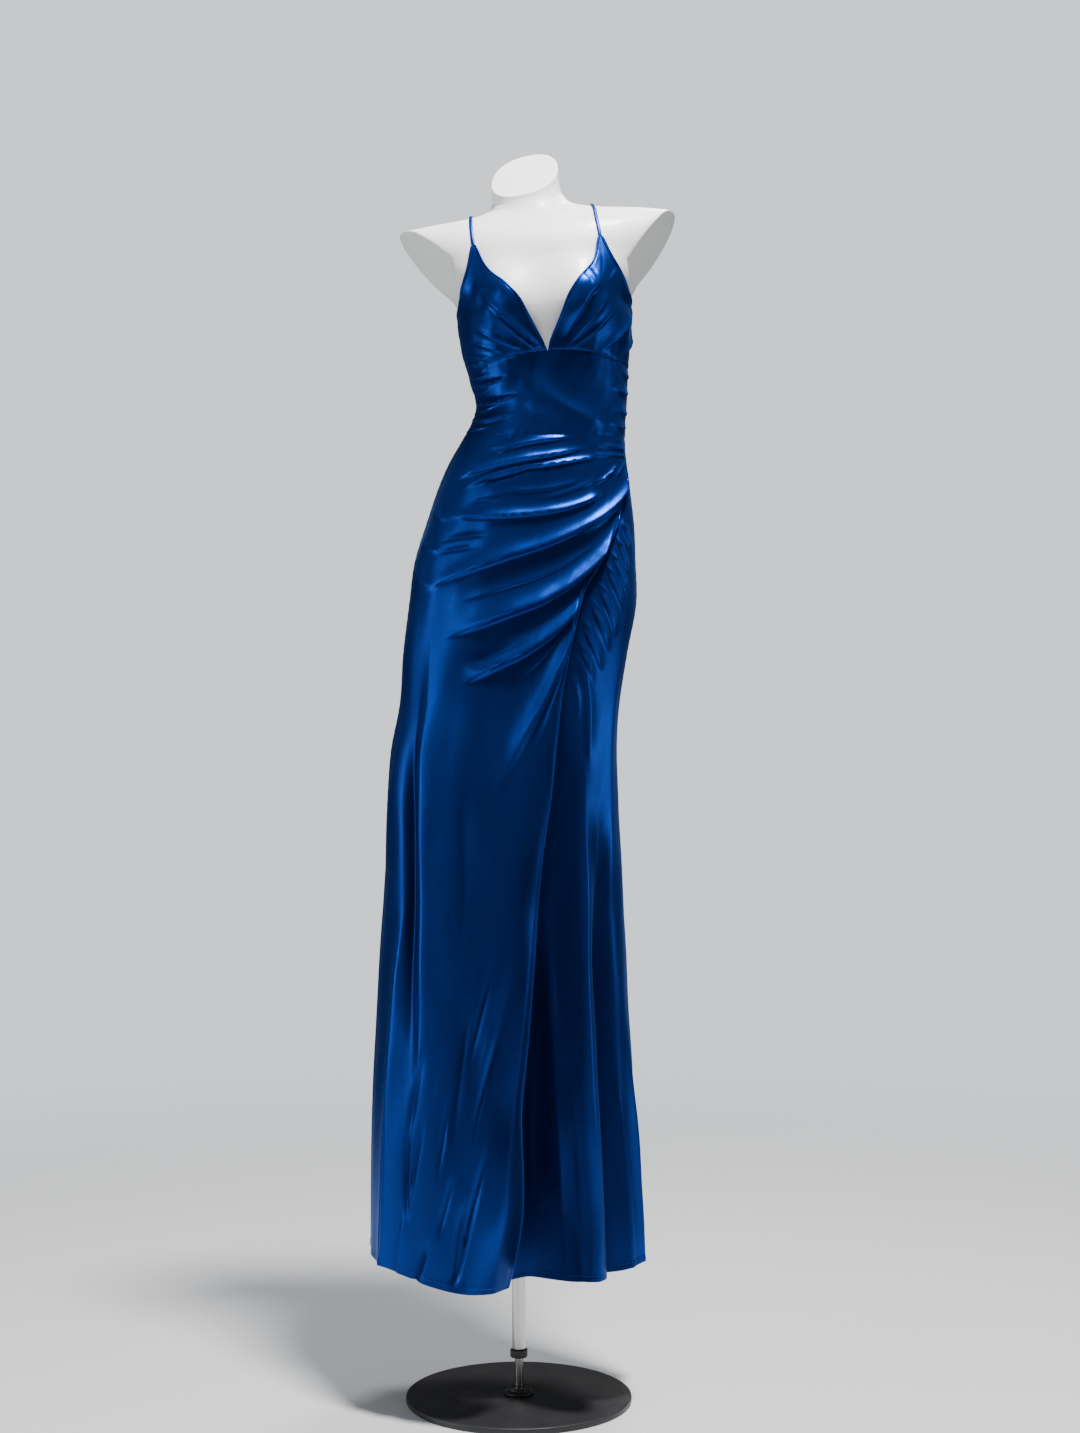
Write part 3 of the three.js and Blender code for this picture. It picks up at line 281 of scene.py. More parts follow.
BODICE_FOLDS = named_rows(FOLD, [
    # Creases that run in from the left side seam
    (-89, 1462, -64, 1449, -40, 1456, 5.5, 2.6, 0.4, 0.5, 0.4),
    (-89, 1449, -56, 1437, -24, 1447, 8, 4.2, 0.3, 0.4, 0.35),
    (-89, 1430, -66, 1426, -44, 1434, 4.5, 1.8, 0.5, 0.6, 0.4),
    (-89, 1424, -54, 1409, -19, 1421, 8.5, 4.4, 0.3, 0.4, 0.35),
    (-89, 1403, -64, 1398, -37, 1408, 5.5, 2.4, 0.4, 0.6, 0.4),
    (-89, 1396, -54, 1383, -22, 1391, 7.5, 3.8, 0.3, 0.4, 0.35),
    (-89, 1376, -62, 1371, -36, 1377, 5, 2, 0.4, 0.6, 0.4),
    # Soft slack between the cups and the waist
    (-8, 1452, 5, 1404, 50, 1374, 21, 4.6, 0.7, 1, 0.3),
    (-22, 1440, -12, 1404, 2, 1370, 14, 2, 0.7, 1, 0.3),
    (34, 1450, 42, 1412, 40, 1374, 16, -1.6, 0.9, 1, 0.3),
    # Creases at the right side seam
    (60, 1452, 74, 1443, 89, 1446, 7, 2, 0.5, 1, 0.1),
    (48, 1428, 70, 1420, 89, 1424, 8, 2.2, 0.5, 1, 0.1),
    (52, 1402, 72, 1394, 89, 1397, 8, 2.2, 0.5, 1, 0.1),
    (46, 1380, 68, 1374, 89, 1377, 7, 1.8, 0.5, 1, 0.1),
])
CUP_FOLDS = named_rows(FOLD, [
    (-46, 1562, -18, 1512, -3, 1476, 10, 6.2, 0.35, 0.4, 0.1),
    (-40, 1544, -21, 1507, -5, 1474, 6, 4, 0.35, 0.4, 0.1),
    (-54, 1517, -35, 1498, -14, 1478, 6, 2.6, 0.4, 0.5, 0.15),
    (-84, 1480, -60, 1467, -36, 1463, 7, 3, 0.5, 0.7, 0.2),
    (-82, 1494, -60, 1479, -34, 1470, 7, 2.6, 0.5, 0.7, 0.2),
    (-70, 1512, -50, 1494, -26, 1476, 8, 2, 0.6, 0.6, 0.2),
    (4, 1480, 17, 1530, 26, 1570, 9, 2.6, 0.5, 1.2, 0.25),
    (7, 1486, 24, 1532, 45, 1588, 34, 6, 0.2, 1, 0.35),
    (7, 1480, 23, 1524, 34, 1556, 6.5, -4.4, 0.8, 1, 0.3),
    (9, 1476, 30, 1516, 44, 1552, 10, 5, 0.4, 1.4, 0.3),
    (12, 1473, 35, 1502, 51, 1531, 5.5, 2.8, 0.4, 1, 0.25),
    (36, 1470, 60, 1498, 75, 1525, 9, 6, 0.35, 1, 0.2),
    (58, 1466, 83, 1488, 89, 1514, 7, 4.6, 0.35, 1, 0.15),
    (22, 1580, 27, 1567, 30, 1552, 4, -1.6, 0.6, 1, 0.4),
    (29, 1586, 33, 1570, 36, 1554, 4, -1.6, 0.6, 1, 0.4),
    (58, 1586, 50, 1572, 44, 1560, 5, 1.6, 0.6, 1, 0.4),
])
FOLD_FORM = dict(stretches=18, start_taper=0.38, fall=1.7, power=1.42, pinch_power=1.5, steep_blend=0.12,
                 reach=2.6)

# Slack of each panel: a sum of waves with a seed, a usual length, a stretch along Z and a share of a
# millimetre
SLACK_WAVES = dict(count=14, shortest=0.6, longest=1.6)
SLACK = {
    "bodice_front": dict(seed=11, length=34, upright=1.5, share=0.3),
    "bodice_back_left": dict(seed=11, length=40, upright=1.2, share=0.7),
    "bodice_back_right": dict(seed=13, length=40, upright=1.2, share=0.7),
    "cup_left": dict(seed=20, length=30, upright=1.2, share=0.25),
    "cup_right": dict(seed=22, length=30, upright=1.2, share=0.25),
    "skirt_front_wrap": dict(seed=31, length=52, upright=3, share=0.45),
    "skirt_front_under": dict(seed=41, length=46, upright=3, share=0.4),
    "skirt_back_left": dict(seed=50, length=55, upright=3, share=0.5),
    "skirt_back_right": dict(seed=52, length=55, upright=3, share=0.5),
}
# Columns and rows of each panel's grid: a count, the share at either end with finer steps, and how many
# such steps
GRIDS = {
    "bodice_front": dict(columns=(190, 0.012, 4), rows=(96, 0.03, 4)),
    "bodice_back": dict(columns=(64, 0.03, 6), rows=(56, 0.04, 6)),
    "cup": dict(columns=(104, 0.02, 5), rows=(104, 0.02, 4)),
    "skirt_front_wrap": dict(columns=(148, 0.02, 8)),
    "skirt_front_under": dict(columns=(116, 0.02, 4), rows=(270, 0.006, 5)),
    "skirt_back": dict(columns=(104, 0.02, 5), rows=(180, 0.008, 6)),
}
# Rows of the wrap: close together down to the fan's end, wider apart below it, and finest at the hem
WRAP_GRID = dict(fan_end=27, fan_rows=206, lower_rows=108, lower_end=0.8, waist_step=0.03,
                 hem_steps=(0.6, 0.42, 0.28, 0.17, 0.08, 0))
# Where the slit's top and the gather come among the under panel's rows, and the gather's height
UNDER_ROWS = dict(slit_place=0.4, gather_place=0.86, gather=1250)
STITCH = dict(pitch=3.2, length=2.3, girth=0.26, rings=5, sides=6, hem=7.8, edge=3.8, neckline=3)
STITCH_REACH = 0.96
EDGE_ROLL = dict(taper=0.75, sides=10, radius=1.15, wrap_radius=1.5, wrap_top=1190, neckline_low=1482)

# Straps run over the shoulders from the cups to the back neckline
STRAP = dict(width=5, thickness=2.2, front_across=87.8, shoulder_across=85, back_across=60, front_gap=-1,
             back_gap=-3, back_height=1442, shoulder_lift=1, shoulder_lift_from=90, shoulder_lift_whole=50,
             back_lift=3.3, back_lift_from=110, straight_from=42, inward=1.15, axis_height=1600, rings=150,
             sides=14, dimple=0.35, dimple_width=0.12, end_share=0.72)

# Dress form
FORM_BOTTOM = 1000
FORM_TOP = 1738
# Rings of the form: stretches as first height, last height and count, and the flat ends as shares
FORM_STRETCHES = ((1000, 1040, 16), (1046, 1536, 66), (1538, 1690, 150), (1692, 1736.4, 28))
FORM_BOTTOM_CAP = (0.02, 0.25, 0.5, 0.68, 0.76)
FORM_TOP_CAP = dict(share=(0.994, 0.982, 0.965, 0.93, 0.8, 0.6, 0.35, 0.02),
                    below_top=(0.9, 0.35, 0.08, 0, 0, 0, 0, 0))
# Columns stand closer at the sides, by a shift of their angle
FORM_COLUMNS = 250
FORM_COLUMN_SHIFT = 0.3
FORM_RINGS = columns("height share", [(1000, 0.8), (1006, 0.92), (1018, 0.99), (1040, 1), (1062, 1),
                                       (1738, 1)])
ARM_CUT = dict(top_across=194, top_height=1668, low_across=120, low_height=1556, left_shift=13, turn=20,
               corner=1.3, outline_corner=3, least=121, starts=1530, whole=1548, starts_across=70,
               whole_across=90)
ARM_LIMIT = columns("height right left", [
    (1530, 150, 150), (1551, 131, 126), (1575, 136, 128), (1602, 163, 154), (1632, 189, 179),
    (1662, 207, 192), (1690, 207, 192),
])

# Stand
SOCKET = dict(flange_radius=36, flange_thickness=8, sleeve_radius=14, sleeve_length=42, edge=1.2)
TUBE = dict(radius=9.5, bore=6.7, bottom=73.3, edge=0.7)
COLLAR = dict(radius=12.4, bottom=61, height=12, chamfer=1.6, edge=0.5, ribs=28, rib_depth=0.45,
              segments=336)
ROD = dict(radius=6, top=360, edge=0.8)
HUB = dict(radius=21, top=19.5, neck_radius=15, foot=3.3, slope_top=6.3, edge=1)
PLATE = dict(radius=160, thickness=9, edge=2.6, segments=160)
RUNNING_GAP = 0.35
# A turned outline starts so near to its axis
CENTRE = 0.02


# Small mathematics

def smooth_column(table, key, value):
    """A smooth curve through one column against another, as cubic steps.

    The slope at each row is the mean of the slopes on its two sides.
    """
    keys, values = table[key], table[value]
    steps = np.diff(values) / np.diff(keys)
    slopes = np.concatenate([steps[:1], (steps[:-1] + steps[1:]) / 2, steps[-1:]])

    def curve(at):
        at = np.clip(at, keys[0], keys[-1])
        i = np.clip(np.searchsorted(keys, at, side="right") - 1, 0, len(keys) - 2)
        span = keys[i + 1] - keys[i]
        t = (at - keys[i]) / span
        t2, t3 = t * t, t * t * t
        return ((2 * t3 - 3 * t2 + 1) * values[i] + (t3 - 2 * t2 + t) * span * slopes[i]
                + (3 * t2 - 2 * t3) * values[i + 1] + (t3 - t2) * span * slopes[i + 1])

    return curve


def smooth_step(start, end, x):
    t = np.clip((x - start) / (end - start), 0, 1)
    return t * t * (3 - 2 * t)


def mix(a, b, t):
    return a + (b - a) * t


def soft_min(a, b, corner):
    """The smaller of two values, rounded over about three corners where they meet."""
    return -corner * np.logaddexp(-a / corner, -b / corner)


def unit(vectors):
    return vectors / np.maximum(np.linalg.norm(vectors, axis=-1, keepdims=True), 1e-12)


middle_at = smooth_column(FIGURE, "height", "middle")
half_width_at = smooth_column(FIGURE, "height", "half_width")
front_at = smooth_column(FIGURE, "height", "front")
back_at = smooth_column(FIGURE, "height", "back")
inset_at = smooth_column(FIGURE, "height", "inset")
tilt_at = smooth_column(LEAN, "height", "tilt")
slant_at = smooth_column(LEAN, "height", "slant")
hem_at = smooth_column(HEM, "angle", "height")
wrap_edge_at = smooth_column(WRAP_EDGE, "height", "angle")
row_at_edge = smooth_column(WRAP_ROWS, "row", "at_edge")
row_at_side = smooth_column(WRAP_ROWS, "row", "at_side")
neckline_at = smooth_column(NECKLINE, "height", "across")
armhole_at = smooth_column(ARMHOLE, "height", "across")
ring_share_at = smooth_column(FORM_RINGS, "height", "share")
arm_limit_right = smooth_column(ARM_LIMIT, "height", "right")
arm_limit_left = smooth_column(ARM_LIMIT, "height", "left")


# The figure

def bust_rise(across, height, face):
    """Two round mounds, each its rise times exp(-(distance / spread) squared)."""
    mounds = 0
    for side in (-1, 1):
        near = np.hypot(across - side * BUST["across"], height - BUST["height"]) / BUST["spread"]
        mounds = mounds + np.exp(-near ** 2)
    return BUST["rise"] * mounds * smooth_step(0, BUST["face"], face)


def depth_at(across, height, is_front, inset):
    """The section's depth: |across / half width| and |depth / full depth|, each to the power of the
    roundness, add up to 1. The bust stands out of the front."""
    share = np.clip(np.abs(across) / (half_width_at(height) - inset), 0, 1)
    face = (1 - share ** ROUNDNESS) ** (1 / ROUNDNESS)
    front = -(front_at(height) - inset) * face - bust_rise(across, height, face)
    return np.where(is_front, front, (back_at(height) - inset) * face)


def placed(across, depth, height):
    """A point from its place in a level section, leaned by that level's tilt and slant."""
    across, depth, height = np.broadcast_arrays(across, depth, height)
    lifted = height + tilt_at(height) * across + slant_at(height) * depth
    return np.stack([middle_at(height) + across, depth, lifted], axis=-1)


def reach_at(height):
    return np.where(height > CHEST_REACH_FROM, CHEST_REACH, half_width_at(height))


def section_place(angle, height, reach, inset):
    """Across and depth for an angle that is 0 at the front, 90 at the +X side and 180 at the back."""
    swing = np.sin(np.radians(angle))
    across = (reach - inset) * np.sign(swing) * np.abs(swing) ** (2 / ROUNDNESS)
    return across, depth_at(across, height, np.cos(np.radians(angle)) >= 0, inset)


def figure_point(angle, height):
    angle, height = np.broadcast_arrays(np.asarray(angle, float), np.asarray(height, float))
    across, depth = section_place(angle, height, reach_at(height), 0)
    return placed(across, depth, height)


def figure_normal(angle, height, step=0.5):
    """The outward direction, as the cross of small steps along the angle and up."""
    along = figure_point(angle + step, height) - figure_point(angle - step, height)
    up = figure_point(angle, height + step) - figure_point(angle, height - step)
    return unit(np.cross(along, up))


def angle_of_across(across, height):
    share = np.clip(np.abs(across) / reach_at(height), 0, 1)
    return np.sign(across) * np.degrees(np.arcsin(share ** (ROUNDNESS / 2)))


def side_seam_angle(height):
    """The angle that half a seam's gap takes beside the side seams."""
    return np.degrees((SEAM_GAP / 2 / front_at(height)) ** (ROUNDNESS / 2))


def centre_seam_angle(height):
    return angle_of_across(SEAM_GAP / 2, height)


# Folds

def fold_rise(fold, points):
    """A fold's height over each point: rise * taper * exp(-fall * (distance / foot) ** power).

    The distance is to the nearest stretch of the crest, a parabola through start, bend and end.
    """
    stretches = FOLD_FORM["stretches"]
    way = np.linspace(0, 1, stretches + 1)[:, None]
    start, bend, end = (np.array([fold[f"{p}_angle"], fold[f"{p}_height"]]) for p in ("start", "bend", "end"))
    control = 2 * bend - (start + end) / 2
    spots = (1 - way) ** 2 * start + 2 * way * (1 - way) * control + way ** 2 * end
    path = figure_point(spots[:, 0], spots[:, 1])
    normals = figure_normal(spots[:, 0], spots[:, 1])
    flat = points.reshape(-1, 3)
    margin = FOLD_FORM["reach"] * fold["width"]
    near = np.all((flat > path.min(0) - margin) & (flat < path.max(0) + margin), axis=1)
    spot = flat[near]
    closest = np.full(len(spot), np.inf)
    place = np.zeros(len(spot))
    across = np.zeros(len(spot))
    for i in range(stretches):
        along = path[i + 1] - path[i]
        side = unit(np.cross(normals[i] + normals[i + 1], along))
        offset = spot - path[i]
        t = np.clip(offset @ along / (along @ along), 0, 1)
        offset = offset - t[:, None] * along
        distance = np.einsum("ij,ij->i", offset, offset)
        closer = distance < closest
        closest = np.where(closer, distance, closest)
        place = np.where(closer, (i + t) / stretches, place)
        across = np.where(closer, offset @ side, across)
    foot = fold["width"] * mix(1, fold["pinch"], place ** FOLD_FORM["pinch_power"])
    blend = FOLD_FORM["steep_blend"] * foot
    foot = foot * mix(fold["steep"], 1, smooth_step(-blend, blend, across))
    taper = smooth_step(0, FOLD_FORM["start_taper"], place) * smooth_step(1, 1 - fold["fade"], place)
    rise = np.zeros(len(flat))
    bell = np.exp(-FOLD_FORM["fall"] * (closest / foot ** 2) ** (FOLD_FORM["power"] / 2))
    rise[near] = fold["rise"] * taper * bell
    return rise.reshape(points.shape[:-1])


def fold_lift(folds, points):
    """Folds that cross blend by a cubic mean, so that crests meet and don't pile up."""
    crests = np.zeros(points.shape[:-1])
    hollows = np.zeros(points.shape[:-1])
    for fold in folds:
        rise = fold_rise(fold, points)
        crests += np.maximum(rise, 0) ** 3
        hollows += np.maximum(-rise, 0) ** 3
    return np.cbrt(crests) - np.cbrt(hollows)


def slack(panel, points):
    """Soft unevenness of a panel's hanging cloth: its share of a sum of sine waves in seeded directions,
    whose height is about one millimetre.
    """
    waves, shortest, longest = SLACK_WAVES.values()
    given = SLACK[panel]
    chance = np.random.default_rng(given["seed"])
    headings = unit(chance.normal(size=(waves, 3)))
    ways = headings * (2 * np.pi / (given["length"] * chance.uniform(shortest, longest, (waves, 1))))
    ways[:, 2] /= given["upright"]
    phases = chance.uniform(0, 2 * np.pi, waves)
    return given["share"] * (np.sin(points @ ways.T + phases).sum(-1) / math.sqrt(waves / 2))


# Edges and seams

def turned_edge(distance, width, rise):
    """A narrow turned edge: raised up to its width, with a fine groove where it is sewn down."""
    sewn = np.exp(-((distance - width - TURNED_EDGE["groove_place"]) / TURNED_EDGE["groove_width"]) ** 2)
    flat_top = 1 - smooth_step(width, width + TURNED_EDGE["fall"], distance)
    return rise * flat_top - TURNED_EDGE["groove_share"] * rise * sewn


def pressed_seam(distance, along, sink=PRESS["sink"]):
    """A pressed seam sinks beside its line, as a bell, and puckers a little along it, as a fading wave."""
    pucker = np.sin(2 * np.pi * along / PRESS["pucker_pitch"]) * np.exp(-distance / PRESS["pucker_reach"])
    return -sink * np.exp(-(distance / PRESS["width"]) ** 2) + PRESS["pucker"] * pucker


def turned_in(*distances):
    """How far the seam allowance stands inside the wall: a bell over each distance to a seam."""
    return sum(TURNING["depth"] * np.exp(-(distance / TURNING["width"]) ** 2) for distance in distances)


def spread(count, rim_share, rim_count):
    """Places from 0 to 1, with rim_count finer steps over the first and the last rim_share."""
    rim = np.linspace(0, rim_share, rim_count + 1)[:-1]
    middle = np.linspace(rim_share, 1 - rim_share, count - 2 * rim_count)
    return np.concatenate([rim, middle, 1 - rim[::-1]])


def panel_grid(grid):
    """The two parameters of a panel, from 0 to 1 along its columns and its rows."""
    return np.meshgrid(spread(*grid["columns"]), spread(*grid["rows"]))


def lengths(points, axis):
    """The way from the first point along an axis of a grid, summed step by step."""
    steps = np.linalg.norm(np.diff(points, axis=axis), axis=-1)
    start = np.zeros_like(np.take(steps, [0], axis=axis))
    return np.concatenate([start, np.cumsum(steps, axis=axis)], axis=axis)


def to_edges(base):
    """How far each point of a panel lies, along the cloth, from its first and last column and its low
    and high edge.
    """
    along, up = lengths(base, 1), lengths(base, 0)
    return along, along[:, -1:] - along, up, up[-1:] - up


def to_sides(base, side):
    """The same distances for one of a pair of panels, with the left one's columns counted from its last."""
    first, last, low, high = to_edges(base)
    return (first, last, low, high) if side > 0 else (last, first, low, high)


def grid_normals(points):
    """Outward directions of a grid whose columns run to the growing angle and whose rows run up."""
    return unit(np.cross(np.gradient(points, axis=1), np.gradient(points, axis=0)))


# Meshes

def write_mesh(name, points, faces, smooth_below=CLOTH_SMOOTH):
    """An object from points in millimetres and faces of 3 or 4 corners."""
    mesh = bpy.data.meshes.new(name)
    mesh.from_pydata((points * MM).tolist(), [], faces if isinstance(faces, list) else faces.tolist())
    mesh.polygons.foreach_set("use_smooth", np.ones(len(mesh.polygons), bool))
    mesh.update()
    mesh.set_sharp_from_angle(angle=math.radians(smooth_below))
    piece = bpy.data.objects.new(name, mesh)
    bpy.context.scene.collection.objects.link(piece)
    return piece


def write_uv(piece, uv):
    """One UV in metres for each vertex."""
    mesh = piece.data
    corners = np.empty(len(mesh.loops), np.int32)
    mesh.loops.foreach_get("vertex_index", corners)
    layer = mesh.uv_layers.new(name="cloth")
    layer.data.foreach_set("uv", (uv[corners] * MM).ravel().astype(np.float32))


def write_mask(piece, name, values):
    layer = piece.data.attributes.new(name, "FLOAT", "POINT")
    layer.data.foreach_set("value", values.astype(np.float32))


def grid_faces(rows, count, wraps):
    """The quads of a grid, closed round its columns where it wraps."""
    index = np.arange(rows * count).reshape(rows, count)
    right = np.roll(index, -1, axis=1) if wraps else index[:, 1:]
    left = index if wraps else index[:, :-1]
    return np.stack([left[:-1], right[:-1], right[1:], left[1:]], axis=-1).reshape(-1, 4)


def cloth_wall(name, outer, crest, allowance):
    """A closed cloth wall: the outer grid, the same grid one wall inside, and a rim round both.

    The allowance is how far the cloth turns in behind its seams.
    """
    rows, count = outer.shape[:2]
    total = rows * count
    inner = outer - (WALL + allowance)[..., None] * grid_normals(outer)
    face = grid_faces(rows, count, False)
    index = np.arange(total).reshape(rows, count)
    edge = np.concatenate([index[0, :-1], index[:-1, -1], index[-1, :0:-1], index[:0:-1, 0]])
    following = np.roll(edge, -1)
    rim = np.stack([following, edge, edge + total, following + total], axis=-1)
    faces = np.concatenate([face, face[:, ::-1] + total, rim])
    piece = write_mesh(name, np.concatenate([outer.reshape(-1, 3), inner.reshape(-1, 3)]), faces)
    uv = np.stack([lengths(outer, 1), lengths(outer, 0)], axis=-1).reshape(-1, 2)
    write_uv(piece, np.concatenate([uv, uv]))
    # The crest mask is the fold height, which the satin material turns into painted shade and painted
    # highlight
    write_mask(piece, "crest", np.concatenate([crest.ravel(), crest.ravel()]))
    return piece


def write_closed(name, points, faces, smooth_below=CLOTH_SMOOTH):
    """A closed piece, its doubles merged and every face turned outwards."""
    piece = write_mesh(name, points, faces, smooth_below)
    shape = bmesh.new()
    shape.from_mesh(piece.data)
    bmesh.ops.remove_doubles(shape, verts=shape.verts, dist=1e-7)
    bmesh.ops.recalc_face_normals(shape, faces=shape.faces)
    shape.to_mesh(piece.data)
    shape.free()
    return piece


def capped_tube(name, rings):
    """A closed surface over rings of points, with a fan of triangles over each end."""
    rows, count = rings.shape[:2]
    quads = grid_faces(rows, count, True).tolist()
    k = np.arange(count)
    low, high = rows * count, rows * count + 1
    fans = [[int(b), int(a), low] for a, b in zip(k, np.roll(k, -1))]
    top = (rows - 1) * count
    fans += [[int(top + a), int(top + b), high] for a, b in zip(k, np.roll(k, -1))]
    points = np.concatenate([rings.reshape(-1, 3), rings[0].mean(0)[None], rings[-1].mean(0)[None]])
    return write_closed(name, points, quads + fans)


def rounded(profile, radius, steps=5):
    """A closed outline with each corner taken off by a small parabola of the given reach."""
    corners = np.array(profile, float)
    before, after = np.roll(corners, 1, axis=0), np.roll(corners, -1, axis=0)
    reach = np.minimum(radius, 0.45 * np.minimum(np.linalg.norm(before - corners, axis=1),
                                                  np.linalg.norm(after - corners, axis=1)))[:, None]
    start, end = corners + unit(before - corners) * reach, corners + unit(after - corners) * reach
    t = np.linspace(0, 1, steps)[None, :, None]
    curve = (1 - t) ** 2 * start[:, None] + 2 * t * (1 - t) * corners[:, None] + t ** 2 * end[:, None]
    return curve.reshape(-1, 2)


def turned(name, profile, radius, segments=96, ribs=0, rib_depth=0.0, rib_radius=0.0):
    """A closed outline of (radius, height) carried round the Z axis.

    Ribs draw the outside in by their depth times half of one minus the cosine of ribs * turn.
    """
    outline = rounded(profile, radius)
    turn = np.linspace(0, 2 * np.pi, segments, endpoint=False)
    reach = np.repeat(outline[:, :1], segments, axis=1)
    grooved = (reach > rib_radius) & (ribs > 0)
    reach = reach - np.where(grooved, rib_depth * (1 - np.cos(ribs * turn)) / 2, 0)
    height = np.repeat(outline[:, 1:], segments, axis=1)
    points = np.stack([reach * np.cos(turn), reach * np.sin(turn), height], axis=-1)
    rows = len(outline)
    index = np.arange(rows * segments).reshape(rows, segments)
    right, up = np.roll(index, -1, axis=1), np.roll(index, -1, axis=0)
    faces = np.stack([index, right, np.roll(up, -1, axis=1), up], axis=-1).reshape(-1, 4)
    return write_closed(name, points.reshape(-1, 3), faces, TURNED_SMOOTH)


# Panels

outer_grids = {}


def sew_panel(name, angle, height, lift, edge_lift, allowance):
    """Raises a panel's grid by its folds and edges, and keeps its outer grid for the trims."""
    base = figure_point(angle, height)
    outer = base + grid_normals(base) * (lift + edge_lift)[..., None]
    piece = cloth_wall(name, outer, np.clip(lift / CREST_HEIGHT, -1, 1), allowance)
    outer_grids[name] = outer
    return piece


# Bodice

def underbust_at(angle):
    return UNDERBUST_AT_SIDE + UNDERBUST_RISE * np.cos(np.radians(angle)) ** 2


def back_neckline_at(angle):
    rise = ARMHOLE_BASE - BACK_NECKLINE_LOW
    return BACK_NECKLINE_LOW + rise * np.abs(np.sin(np.radians(angle))) ** BACK_NECKLINE_SCOOP


def bodice_front():
    side = 90 - side_seam_angle(WAIST_SEAM)
    s, t = panel_grid(GRIDS["bodice_front"])
    angle = mix(-side, side, s)
    top = underbust_at(angle)
    height = mix(WAIST_SEAM + SEAM_GAP / 2, top - SEAM_GAP / 2, t)
    base = figure_point(angle, height)
    hold = (smooth_step(WAIST_SEAM, WAIST_SEAM + SEAM_HOLD, height)
            * smooth_step(top, top - SEAM_HOLD, height)
            * smooth_step(90, 90 - SIDE_HOLD, np.abs(angle)))
    lift = hold * (fold_lift(BODICE_FOLDS, base) + slack("bodice_front", base))
    first, last, low, high = to_edges(base)
    edge = (pressed_seam(low, first, WAIST_SINK) + pressed_seam(high, first) + pressed_seam(first, low)
            + pressed_seam(last, low))
    allowance = turned_in(low, high, first, last)
    return sew_panel("bodice_front_satin", angle, height, lift, edge, allowance)


def bodice_back(side):
    name = "bodice_back_right" if side > 0 else "bodice_back_left"
    near = 90 + side_seam_angle(WAIST_SEAM)
    far = 180 - centre_seam_angle(WAIST_SEAM)
    s, t = panel_grid(GRIDS["bodice_back"])
    angle = mix(near, far, s) if side > 0 else mix(-far, -near, s)
    height = mix(WAIST_SEAM + SEAM_GAP / 2, back_neckline_at(angle), t)
    base = figure_point(angle, height)
    to_side, to_centre, low, high = to_sides(base, side)
    hold = (smooth_step(0, BACK_HOLD["seam"], low) * smooth_step(0, BACK_HOLD["neckline"], high)
            * smooth_step(0, BACK_HOLD["seam"], to_centre))
    edge = pressed_seam(low, lengths(base, 1), WAIST_SINK) + pressed_seam(to_side, low)
    edge = edge + turned_edge(high, **BACK_NECKLINE_EDGE) + turned_edge(to_centre, **ZIP_EDGE)
    return sew_panel(name + "_satin", angle, height, hold * slack(name, base), edge, turned_in(low, to_side))


def cup_outer_angle(height):
    """The side seam up to the armhole, then the armhole's edge."""
    seam = 90 - side_seam_angle(ARMHOLE_BASE)
    above = smooth_step(ARMHOLE_BASE, ARMHOLE_BASE + ARMHOLE_TURN["edge_above"], height)
    return mix(seam, angle_of_across(armhole_at(height), height), above)


def cup(side):
    name = "cup_right" if side > 0 else "cup_left"
    s, t = panel_grid(GRIDS["cup"])
    out = s if side > 0 else 1 - s
    point = underbust_at(0)
    base_height = underbust_at(mix(angle_of_across(neckline_at(point), point), 90, out)) + SEAM_GAP / 2
    height = mix(base_height, CUP_TOP, t)
    angle = side * mix(angle_of_across(neckline_at(height), height), cup_outer_angle(height), out)
    base = figure_point(angle, height)
    hold = (smooth_step(base_height, base_height + SEAM_HOLD, height)
            * smooth_step(90, 90 - SIDE_HOLD, np.abs(angle)))
    lift = hold * (fold_lift(CUP_FOLDS, base) + slack(name, base))
    to_neckline, to_outside, low, _ = to_sides(base, side)
    below = smooth_step(ARMHOLE_BASE, ARMHOLE_BASE - ARMHOLE_TURN["seam_below"], height)
    above_point = smooth_step(POINT_TURN["low"], POINT_TURN["high"], height)
    edge = pressed_seam(low, lengths(base, 1)) + below * pressed_seam(to_outside, low)
    edge = edge + above_point * turned_edge(to_neckline, **NECKLINE_EDGE)
    edge = edge + (1 - below) * turned_edge(to_outside, **NECKLINE_EDGE)
    allowance = turned_in(low) + below * turned_in(to_outside)
    return sew_panel(name + "_satin", angle, height, lift, edge, allowance)


# Skirt

def slit_depth_at(height):
    share = np.clip((SLIT_TOP - height) / (SLIT_TOP - WRAP_EDGE["height"][0]), 0, 1)
    return SLIT_DEPTH["at_hem"] * share ** SLIT_DEPTH["growth"]


def skirt_hold(angle, height):
    beside = smooth_step(90, 90 - SKIRT_FRONT_HOLD, np.abs(angle))
    return smooth_step(WAIST_SEAM, WAIST_SEAM - WAIST_HOLD, height) * beside


def wrap_rows():
    """The wrap's row numbers from the hem up: closest together in the fan, and finer at both ends."""
    last = WRAP_ROWS["row"][-1]
    fan_end = WRAP_GRID["fan_end"]
    fan = np.linspace(0, fan_end, WRAP_GRID["fan_rows"], endpoint=False)[1:]
    lower = np.linspace(fan_end, last - WRAP_GRID["lower_end"], WRAP_GRID["lower_rows"])
    hem = last - np.array(WRAP_GRID["hem_steps"])
    return np.concatenate([[0, WRAP_GRID["waist_step"]], fan, lower, hem])[::-1]


